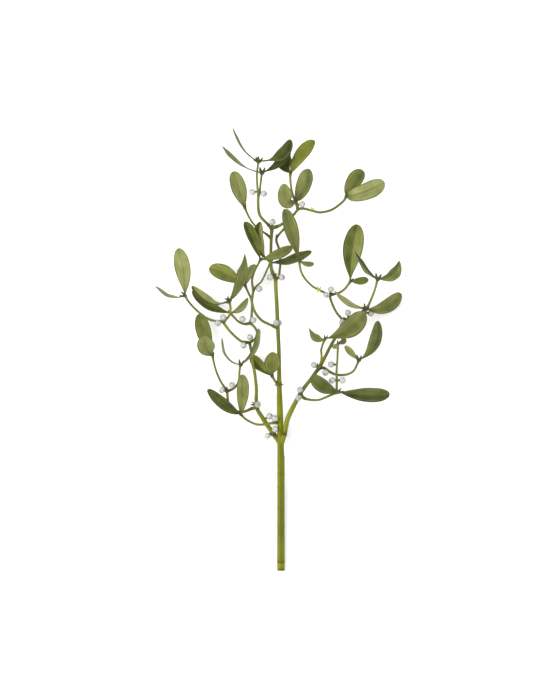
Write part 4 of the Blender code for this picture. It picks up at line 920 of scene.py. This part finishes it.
# %% The bud tree
bud_tree, size = new_tree(
    "Bud of three scales",
    {"Scale width": 0.0011, "Scale length": 0.0021, "Scales": 3, "Spread": 0.4, "Skin": scale_skin},
)
place = add(bud_tree, "GeometryNodeInputPosition")
scale = add(bud_tree, "GeometryNodeMeshUVSphere", {"Segments": 8, "Rings": 7, "Radius": 1.0})
height = add(bud_tree, "ShaderNodeSeparateXYZ", {0: place}, 2)
point = add(bud_tree, "ShaderNodeMath", {0: height, 1: 0.0}, operation="MAXIMUM")
point = add(bud_tree, "ShaderNodeMath", {0: point, 1: 3.0}, operation="POWER")
point = add(bud_tree, "ShaderNodeCombineXYZ", {"Z": point})
scale = add(bud_tree, "GeometryNodeSetPosition", {0: scale, "Offset": point})
stretch = {"X": size["Scale width"], "Y": size["Scale width"], "Z": size["Scale length"]}
stretch = add(bud_tree, "ShaderNodeCombineXYZ", stretch)
scale = add(bud_tree, "GeometryNodeTransform", {0: scale, "Scale": stretch})
feet = add(bud_tree, "GeometryNodeMeshCircle", {"Vertices": size["Scales"], "Radius": size["Scale width"]})
outward = add(bud_tree, "ShaderNodeVectorMath", {0: place, 1: (1.0, 1.0, 0.0)}, operation="MULTIPLY")
outward = add(bud_tree, "ShaderNodeVectorMath", {0: outward}, operation="NORMALIZE")
outward = add(bud_tree, "ShaderNodeVectorMath", {0: outward, "Scale": size["Spread"]}, operation="SCALE")
lean = add(bud_tree, "ShaderNodeVectorMath", {0: outward, 1: (0.0, 0.0, 1.0)}, operation="ADD")
lean = add(bud_tree, "FunctionNodeAlignRotationToVector", {"Vector": lean}, axis="Z")
bud = add(bud_tree, "GeometryNodeInstanceOnPoints", {0: feet, "Instance": scale, "Rotation": lean})
heading = add(bud_tree, "GeometryNodeInputNamedAttribute", {"Name": "heading"}, data_type="FLOAT_VECTOR")
turn = add(bud_tree, "FunctionNodeAlignRotationToVector", {"Vector": heading}, axis="Z")
times = add(bud_tree, "GeometryNodeInputNamedAttribute", {"Name": "times"}, data_type="FLOAT")
buds = {0: size["Geometry"], "Instance": bud, "Rotation": turn, "Scale": times}
buds = add(bud_tree, "GeometryNodeInstanceOnPoints", buds)
close_tree(bud_tree, buds, size["Skin"])


# %% Stem pieces: bark and buds in one object
def bud_guide(places):
    """Guide points for buds, from rows of place in mm and direction. A direction's length is the size."""
    ways = [(place, Vector(way)) for place, way in places]
    return [[(place, {"heading": tuple(way.normalized()), "times": way.length})] for place, way in ways]


def join(name, pieces):
    """Join mesh objects into the first of them, under a name of their own."""
    with bpy.context.temp_override(active_object=pieces[0], selected_editable_objects=pieces):
        bpy.ops.object.join()
    pieces[0].name = name
    return pieces[0]


def stem_piece(node, lines, buds, bracts=()):
    """The stems of one node, with their buds and yellow bracts, standing for that node."""
    parts = [grow(node + "_bark", lines, stem_tree), grow(node + "_buds", bud_guide(buds), bud_tree)]
    if bracts:
        parts.append(grow(node + "_bracts", bud_guide(bracts), bud_tree, {"Skin": bract_skin}))
    piece = join(node + "_stems", parts)
    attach(piece, "root")
    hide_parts(node)
    return piece


ALL_SPRAYS = MAIN_SPRAYS | LEFT_SPRAYS | RIGHT_SPRAYS
for node, lines in (wood | spray_wood).items():
    grown = ALL_SPRAYS[node] if node in ALL_SPRAYS else {"buds": STEM_BUDS[node]}
    piece = stem_piece(node, lines, grown["buds"], grown.get("bracts", ()))
    print(piece.name, len(piece.data.polygons), "faces")

# %% [markdown]
# ## Leaf surface
#
# A mistletoe leaf is thick and leathery, the same green on both sides, with three to five veins
# that run side by side from the neck to the tip instead of branching. The leaf tree stores how far
# across and along the blade each point is, so the veins and the darker rim can follow the outline.
# Every leaf has its own tone, partly its own colour and partly painted light and shade, as a leaf
# turned to the light looks paler, and its own share of yellow. Wax makes the leather shine a little,
# and a fine relief breaks that shine up.

# %% Leaf material: the shade of each half
leather, tree, surface = new_material("leathery mistletoe leaf", IOR=1.42, Specular_IOR_Level=0.15)
across, along, half, painted_half_shade, tone, sun = [
    add(tree, "ShaderNodeAttribute", out=2, attribute_name=name)
    for name in ("across", "along", "half", "painted_half_shade", "tone", "sun")
]
place = add(tree, "ShaderNodeTexCoord", out=3)

# Cloudy patches about 12 mm across shift the shade a little.
clouds = add(tree, "ShaderNodeTexNoise", {"Vector": place, "Scale": 80.0, "Detail": 3.0})
clouds = add(tree, "ShaderNodeMapRange", {0: clouds, 1: 0.3, 2: 0.7, 3: -0.12, 4: 0.12})
# Each leaf's tone is partly its own colour and partly painted light and shade.
shade = add(tree, "ShaderNodeMath", {0: tone, 1: clouds}, operation="ADD")
# Painted light and shade: one half of the blade is painted paler and the other darker, as light falls on a
# fold.
halves = add(tree, "ShaderNodeMapRange", {0: across, 1: -0.15, 2: 0.15, 3: -1.0, 4: 1.0})
shade = add(tree, "ShaderNodeMath", {0: halves, 1: painted_half_shade, 2: shade}, operation="MULTIPLY_ADD")
ramp = add(tree, "ShaderNodeValToRGB", {0: shade})
stops = ramp.node.color_ramp
stops.elements[0].color, stops.elements[1].color = linear("282E12"), linear("8E915C")
stops.elements.new(0.3).color = linear("4A5023")
stops.elements.new(0.6).color = linear("696D3B")

# %% Leaf material: veins, streaks, rim and neck
# Five veins: the blade is cut into equal lanes, and a thin line is drawn between each two.
lanes = add(tree, "ShaderNodeMath", {0: across, 1: 2.6}, operation="MULTIPLY")
lanes = add(tree, "ShaderNodeMath", {0: lanes, 1: 1.0}, operation="PINGPONG")
veins = add(tree, "ShaderNodeMapRange", {0: lanes, 1: 0.0, 2: 0.32, 3: 1.0, 4: 0.0}, **smooth)
pale = add(tree, "ShaderNodeMath", {0: veins, 1: 0.22}, operation="MULTIPLY")
# Streaks about 0.8 mm wide and 15 mm long run beside the veins, different on leaves of other tones.
width = add(tree, "ShaderNodeMath", {0: across, 1: half}, operation="MULTIPLY")
width = add(tree, "ShaderNodeMath", {0: width, 1: 1200.0}, operation="MULTIPLY")
length = add(tree, "ShaderNodeMath", {0: along, 1: 3.5}, operation="MULTIPLY")
seed = add(tree, "ShaderNodeMath", {0: tone, 1: 37.0}, operation="MULTIPLY")
flow = add(tree, "ShaderNodeCombineXYZ", {"X": width, "Y": length, "Z": seed})
streaks = add(tree, "ShaderNodeTexNoise", {"Vector": flow, "Scale": 1.0, "Detail": 2.0})
dark = add(tree, "ShaderNodeMapRange", {0: streaks, 1: 0.45, 2: 0.75, 3: 0.0, 4: 0.45})
outer = add(tree, "ShaderNodeMath", {0: across}, operation="ABSOLUTE")
middle = add(tree, "ShaderNodeMapRange", {0: outer, 1: 0.02, 2: 0.14, 3: 0.4, 4: 0.0})
rim = add(tree, "ShaderNodeMapRange", {0: outer, 1: 0.8, 2: 0.97, 3: 0.0, 4: 0.6}, **smooth)
neck = add(tree, "ShaderNodeMapRange", {0: along, 1: 0.0, 2: 0.3, 3: 0.6, 4: 0.0}, **smooth)
colour = ramp
layers = ((pale, "8E9058"), (dark, "3A401A"), (middle, "3A4010"), (rim, "353A1C"), (neck, "3A3F12"))
for share, code in layers:
    colour = add(tree, "ShaderNodeMix", {0: share, 6: colour, 7: linear(code)}, 2, data_type="RGBA")

# %% Leaf material: sun, gloss and relief
# Sun takes up to four fifths of the blue away, which leaves a yellower green.
yellower = {0: sun, 6: colour, 7: (1.0, 1.0, 0.2, 1.0)}
colour = add(tree, "ShaderNodeMix", yellower, 2, data_type="RGBA", blend_type="MULTIPLY")
gloss = add(tree, "ShaderNodeMapRange", {0: streaks, 1: 0.3, 2: 0.7, 3: 0.42, 4: 0.6})
ridges = add(tree, "ShaderNodeMath", {0: veins, 1: streaks}, operation="ADD")
relief = add(tree, "ShaderNodeBump", {"Strength": 0.3, "Distance": 0.0003, "Height": ridges})
connect(tree, surface, Base_Color=colour, Roughness=gloss, Normal=relief)
print(leather.name, "has", len(tree.nodes), "nodes")

# %% [markdown]
# ## Leaves
#
# A blade is one closed loop swept along the midrib. The loop starts as a circle, so its points lie
# close together near the rim. It is flattened, then each point moves off the midrib's plane: up
# towards the rim for the dish, up or down for the thickness, and down at the middle for the rib.
# The outline, how wide the blade is from neck to tip, is drawn once in a Float Curve.

# %% The outline of a blade
WIDEST_AT, NECK_POWER = 0.62, 0.5
OUTLINE_STOPS = (0.1, 0.2, 0.3, 0.4, 0.5, 0.62, 0.72, 0.8, 0.87, 0.92, 0.96, 0.98, 0.992)


def outline(t):
    """Share of the full width at t from neck (0) to tip (1): a long neck, then a round end."""
    if t < WIDEST_AT:
        return (0.5 - 0.5 * math.cos(math.pi * t / WIDEST_AT)) ** NECK_POWER
    return math.sqrt(max(0.0, 1.0 - ((t - WIDEST_AT) / (1.0 - WIDEST_AT)) ** 2))


print("outline:", [round(outline(t), 2) for t in OUTLINE_STOPS])

# %% The leaf tree: midrib and half width
leaf_tree, size = new_tree(
    "Leaf swept along its midrib",
    {
        "Loop points": 36, "Neck width": 0.0021, "Thickness": 0.00085, "Dish": 0.12,
        "Rib depth": 0.0004, "Wave": 0.0007, "Leather": leather,
    },
)
rib = add(leaf_tree, "GeometryNodeMeshToCurve", {0: size["Geometry"]})
rib = add(leaf_tree, "GeometryNodeSetCurveNormal", {0: rib}, mode="Z_UP")
roll, along, width, neck, point = [
    add(leaf_tree, "GeometryNodeInputNamedAttribute", {"Name": name}, data_type="FLOAT")
    for name in ("roll", "along", "width", "neck", "point")
]
rib = add(leaf_tree, "GeometryNodeSetCurveTilt", {0: rib, "Tilt": roll})
share = add(leaf_tree, "ShaderNodeFloatCurve", {"Value": along})
drawing = share.node.mapping
drawn = drawing.curves[0].points
for t in OUTLINE_STOPS:
    drawn.new(t, outline(t))
drawn[0].location, drawn[-1].location = (0.0, 0.0), (1.0, 0.0)
drawing.update()
# A leaf's own neck bends the outline below the widest place, and its own point narrows it above.
early = add(leaf_tree, "ShaderNodeMath", {0: along, 1: WIDEST_AT}, operation="LESS_THAN")
neck = add(leaf_tree, "ShaderNodeMath", {0: early, 1: neck, 2: 1.0}, operation="MULTIPLY_ADD")
share = add(leaf_tree, "ShaderNodeMath", {0: share, 1: neck}, operation="POWER")
blade = add(leaf_tree, "ShaderNodeMath", {0: width, 1: share}, operation="MULTIPLY")
past = add(leaf_tree, "ShaderNodeMapRange", {0: along, 1: WIDEST_AT, 2: 1.0, 3: 0.0, 4: -0.8})
sharp = add(leaf_tree, "ShaderNodeMath", {0: past, 1: point, 2: 1.0}, operation="MULTIPLY_ADD")
blade = add(leaf_tree, "ShaderNodeMath", {0: blade, 1: sharp}, operation="MULTIPLY")
# The blade is nowhere narrower than its neck, except close to the tip, where that width fades out.
taper = add(leaf_tree, "ShaderNodeMath", {0: along, 1: 8.0}, operation="POWER")
taper = add(leaf_tree, "ShaderNodeMath", {0: 1.0, 1: taper}, operation="SUBTRACT")
neck = add(leaf_tree, "ShaderNodeMath", {0: size["Neck width"], 1: taper}, operation="MULTIPLY")
half = add(leaf_tree, "ShaderNodeMath", {0: blade, 1: neck}, operation="MAXIMUM")
half = add(leaf_tree, "ShaderNodeMath", {0: half, 1: 0.5}, operation="MULTIPLY")
rib = add(leaf_tree, store, {0: rib, "Name": "half", "Value": half})
normal = add(leaf_tree, "GeometryNodeInputNormal")
tangent = add(leaf_tree, "GeometryNodeInputTangent")
face = add(leaf_tree, "ShaderNodeVectorMath", {0: normal, 1: tangent}, operation="CROSS_PRODUCT")
rib = add(leaf_tree, store, {0: rib, "Name": "face", "Value": face}, **vector)

# %% The leaf tree: sweep, then shape
place = add(leaf_tree, "GeometryNodeInputPosition")
x, y = [add(leaf_tree, "ShaderNodeSeparateXYZ", {0: place}, out) for out in (0, 1)]
loop = add(leaf_tree, "GeometryNodeCurvePrimitiveCircle", {"Resolution": size["Loop points"], "Radius": 1.0})
loop = add(leaf_tree, store, {0: loop, "Name": "across", "Value": x})
loop = add(leaf_tree, store, {0: loop, "Name": "side", "Value": y})
flat = add(leaf_tree, "ShaderNodeVectorMath", {0: place, 1: (1.0, 0.0, 1.0)}, operation="MULTIPLY")
loop = add(leaf_tree, "GeometryNodeSetPosition", {0: loop, "Position": flat})
leaf = add(leaf_tree, "GeometryNodeCurveToMesh", {0: rib, 1: loop, "Scale": half, "Fill Caps": True})
across, side, half, fold = [
    add(leaf_tree, "GeometryNodeInputNamedAttribute", {"Name": name}, data_type="FLOAT")
    for name in ("across", "side", "half", "fold")
]
out = add(leaf_tree, "ShaderNodeMath", {0: across}, operation="ABSOLUTE")
square = add(leaf_tree, "ShaderNodeMath", {0: across, 1: across}, operation="MULTIPLY")
dish = add(leaf_tree, "ShaderNodeMath", {0: square, 1: size["Dish"]}, operation="MULTIPLY")
dish = add(leaf_tree, "ShaderNodeMath", {0: out, 1: fold, 2: dish}, operation="MULTIPLY_ADD")
dish = add(leaf_tree, "ShaderNodeMath", {0: dish, 1: half}, operation="MULTIPLY")
print("leaf tree:", len(leaf_tree.nodes), "nodes so far")

# %% The leaf tree: thickness, rib and wavy rim
# The neck is twice as thick as the blade, and both thickness and rib fade out at the very tip.
fullness = add(leaf_tree, "ShaderNodeMapRange", {0: along, 1: 0.0, 2: 0.35, 3: 1.0, 4: 0.5})
end = add(leaf_tree, "ShaderNodeMath", {0: along, 1: 30.0}, operation="POWER")
end = add(leaf_tree, "ShaderNodeMath", {0: 1.0, 1: end}, operation="SUBTRACT")
fullness = add(leaf_tree, "ShaderNodeMath", {0: fullness, 1: end}, operation="MULTIPLY")
wall = add(leaf_tree, "ShaderNodeMath", {0: fullness, 1: size["Thickness"]}, operation="MULTIPLY")
lift = add(leaf_tree, "ShaderNodeMath", {0: side, 1: wall, 2: dish}, operation="MULTIPLY_ADD")
reach = add(leaf_tree, "ShaderNodeMath", {0: out, 1: half}, operation="MULTIPLY")
reach = add(leaf_tree, "ShaderNodeMapRange", {0: reach, 1: 0.0, 2: 0.0012, 3: 1.0, 4: 0.0})
dip = add(leaf_tree, "ShaderNodeMath", {0: reach, 1: size["Rib depth"]}, operation="MULTIPLY")
dip = add(leaf_tree, "ShaderNodeMath", {0: dip, 1: end}, operation="MULTIPLY")
lift = add(leaf_tree, "ShaderNodeMath", {0: lift, 1: dip}, operation="SUBTRACT")
ripple = add(leaf_tree, "ShaderNodeTexNoise", {"Vector": place, "Scale": 70.0, "Detail": 0.0})
ripple = add(leaf_tree, "ShaderNodeMath", {0: ripple, 1: 0.5}, operation="SUBTRACT")
# Noise keeps near its middle value, so the wave is stretched four times to reach its full height.
for factor in (size["Wave"], 4.0):
    ripple = add(leaf_tree, "ShaderNodeMath", {0: ripple, 1: factor}, operation="MULTIPLY")
lift = add(leaf_tree, "ShaderNodeMath", {0: ripple, 1: square, 2: lift}, operation="MULTIPLY_ADD")
face = add(leaf_tree, "GeometryNodeInputNamedAttribute", {"Name": "face"}, **vector)
lift = add(leaf_tree, "ShaderNodeVectorMath", {0: face, "Scale": lift}, operation="SCALE")
leaf = add(leaf_tree, "GeometryNodeSetPosition", {0: leaf, "Offset": lift})
leaf = add(leaf_tree, "GeometryNodeMergeByDistance", {0: above_table(leaf_tree, leaf), "Distance": 0.000002})
close_tree(leaf_tree, leaf, size["Leather"])

# %% Leaf pieces
MIDRIB_POINTS = 30
TIP_CROWDING = 1.5  # above 1, the points of a midrib crowd towards its tip
BASE_OFFSET = 0.6


def midrib(base, tip, width, roll, bend, tone, twist=0.0, point=0.0, neck=0.0, fold=0.0, painted_half_shade=0.0, sun=0.0):
    """The guide line of one leaf, in mm, from its neck to its tip."""
    base, tip, bend = Vector(base), Vector(tip), Vector(bend)
    base += (tip - base).normalized() * BASE_OFFSET
    line = []
    for index in range(MIDRIB_POINTS + 1):
        t = 1.0 - (1.0 - index / MIDRIB_POINTS) ** TIP_CROWDING
        # 4 t (1 - t) is 1 halfway, so the middle of the midrib is moved by the whole bend.
        place = base + (tip - base) * t + bend * 4.0 * t * (1.0 - t)
        carried = {"along": t, "width": width * MM, "roll": math.radians(roll + twist * t)}
        carried |= {"point": point, "neck": neck, "fold": fold, "tone": tone, "painted_half_shade": painted_half_shade, "sun": sun}
        line.append((place, carried))
    return line


for node, spray in ALL_SPRAYS.items():
    ribs = [midrib(base, *shape, **extras) for base, leaves in spray["leaves"] for *shape, extras in leaves]
    piece = grow(node + "_leaves", ribs, leaf_tree)
    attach(piece, "root")
    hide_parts(node)
    print(piece.name, len(ribs), "leaves,", len(piece.data.polygons), "faces")

# %% [markdown]
# ## Berries
#
# The berries are pearly white and let some light through, like a drop of thin glue in a clear
# skin. Each has a small dark scar at its far end, where the flower was. They sit right against
# the stem in ones and twos, each in a small green cup. One ball is shaped once and repeated, turned
# so that its scar faces away from the stem. A cup is a very short stem.

# %% Berry material
pearl, tree, surface = new_material(
    "pearly white berry",
    IOR=1.36,
    Roughness=0.2,
    Subsurface_Weight=0.3,
    Subsurface_Scale=0.003,
    Transmission_Weight=0.4,
)
surface.inputs["Subsurface Radius"].default_value = (1.0, 0.95, 0.9)
pole = add(tree, "ShaderNodeAttribute", out=2, attribute_name="pole")
place = add(tree, "ShaderNodeTexCoord", out=3)
milk = add(tree, "ShaderNodeTexNoise", {"Vector": place, "Scale": 260.0, "Detail": 2.0})
# Painted shade: the rim is painted greyer where the skin is seen at a slant.
painted_rim_shade = add(tree, "ShaderNodeLayerWeight", {"Blend": 0.35}, out=1)
painted_rim_shade = add(tree, "ShaderNodeMath", {0: painted_rim_shade, 1: 0.8}, operation="MULTIPLY")
scar = add(tree, "ShaderNodeMapRange", {0: pole, 1: 0.955, 2: 0.98, 3: 0.0, 4: 0.7})
flesh = linear("A8A8A0")
for share, code in ((milk, "D6D6D2"), (painted_rim_shade, "77776C"), (scar, "3A3630")):
    flesh = add(tree, "ShaderNodeMix", {0: share, 6: flesh, 7: linear(code)}, 2, data_type="RGBA")
connect(tree, surface, Base_Color=flesh)
print(pearl.name, "has", len(tree.nodes), "nodes")

# %% The berry tree
berry_tree, size = new_tree(
    "Berries on their places", {"Segments": 28, "Rings": 18, "Scar depth": 0.1, "Pearl": pearl}
)
place = add(berry_tree, "GeometryNodeInputPosition")
z = add(berry_tree, "ShaderNodeSeparateXYZ", {0: place}, 2)
ball = add(berry_tree, "GeometryNodeMeshUVSphere", {"Segments": size["Segments"], "Rings": size["Rings"]})
ball = add(berry_tree, store, {0: ball, "Name": "pole", "Value": z})
dent = add(berry_tree, "ShaderNodeMapRange", {0: z, 1: 0.9, 2: 1.0, 3: 0.0, 4: 1.0})
for factor in (size["Scar depth"], -1.0):
    dent = add(berry_tree, "ShaderNodeMath", {0: dent, 1: factor}, operation="MULTIPLY")
dent = add(berry_tree, "ShaderNodeCombineXYZ", {"Z": dent})
ball = add(berry_tree, "GeometryNodeSetPosition", {0: ball, "Offset": dent})
radius = add(berry_tree, "GeometryNodeInputNamedAttribute", {"Name": "radius"}, data_type="FLOAT")
outward = add(berry_tree, "GeometryNodeInputNamedAttribute", {"Name": "outward"}, **vector)
turn = add(berry_tree, "FunctionNodeAlignRotationToVector", {"Vector": outward}, axis="Z")
berries = {0: size["Geometry"], "Instance": ball, "Rotation": turn, "Scale": radius}
berries = add(berry_tree, "GeometryNodeInstanceOnPoints", berries)
close_tree(berry_tree, berries, size["Pearl"])

# %% Where the berries sit
FOOT_DEPTH = 0.6  # how far out a berry's foot is from the stem's middle, as a share of the radius


def nearest_stem(place):
    """The foot of a berry at a place in mm: a point just under the skin of the nearest stem."""
    best, gap = None, math.inf
    for path in stem_paths:
        for (start, thick), (end, thin) in zip(path, path[1:]):
            _, share = intersect_point_line(place, start, end)
            share = min(1.0, max(0.0, share))
            centre = start.lerp(end, share)
            radius = thick + (thin - thick) * share
            if (place - centre).length - radius < gap:
                gap = (place - centre).length - radius
                best = centre + (place - centre).normalized() * radius * FOOT_DEPTH
    return best


# %% Points for the berries and lines for their cups
SCAR_LIFT = 0.15  # how much the scar end is turned up
CUP_OVERLAP = 0.4  # how far a cup reaches into its berry, in mm
FOOT_GIRTH, CUP_GIRTH = 0.0011, 0.0015

berry_nodes = sorted(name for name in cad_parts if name.startswith("berry_"))
berry_points, cups = [], []
for name in berry_nodes:
    low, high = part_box(name)
    centre, radius = (low + high) / 2 / MM, (high.x - low.x) / 2
    foot = nearest_stem(centre)
    outward = (centre - foot).normalized()
    berry_points.append([(centre, {"radius": radius, "outward": tuple(outward + UP * SCAR_LIFT)})])
    top = centre - outward * (radius / MM - CUP_OVERLAP)
    numbers = {"knot_and_shade": 0.6, "old": 0.2, "yellow": 0.0}
    cups.append([(foot, {"girth": FOOT_GIRTH, **numbers}), (top, {"girth": CUP_GIRTH, **numbers})])
print(len(berry_nodes), "berries")

# %% Berry pieces
piece = grow("berries", berry_points, berry_tree)
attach(piece, "root")
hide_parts(*berry_nodes)
print(piece.name, len(berry_nodes), "berries,", len(piece.data.polygons), "faces")

piece = grow("berry_cups", cups, stem_tree, {"Sides": 12, "Step": 0.0006})
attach(piece, "root")
print(piece.name, len(piece.data.polygons), "faces")
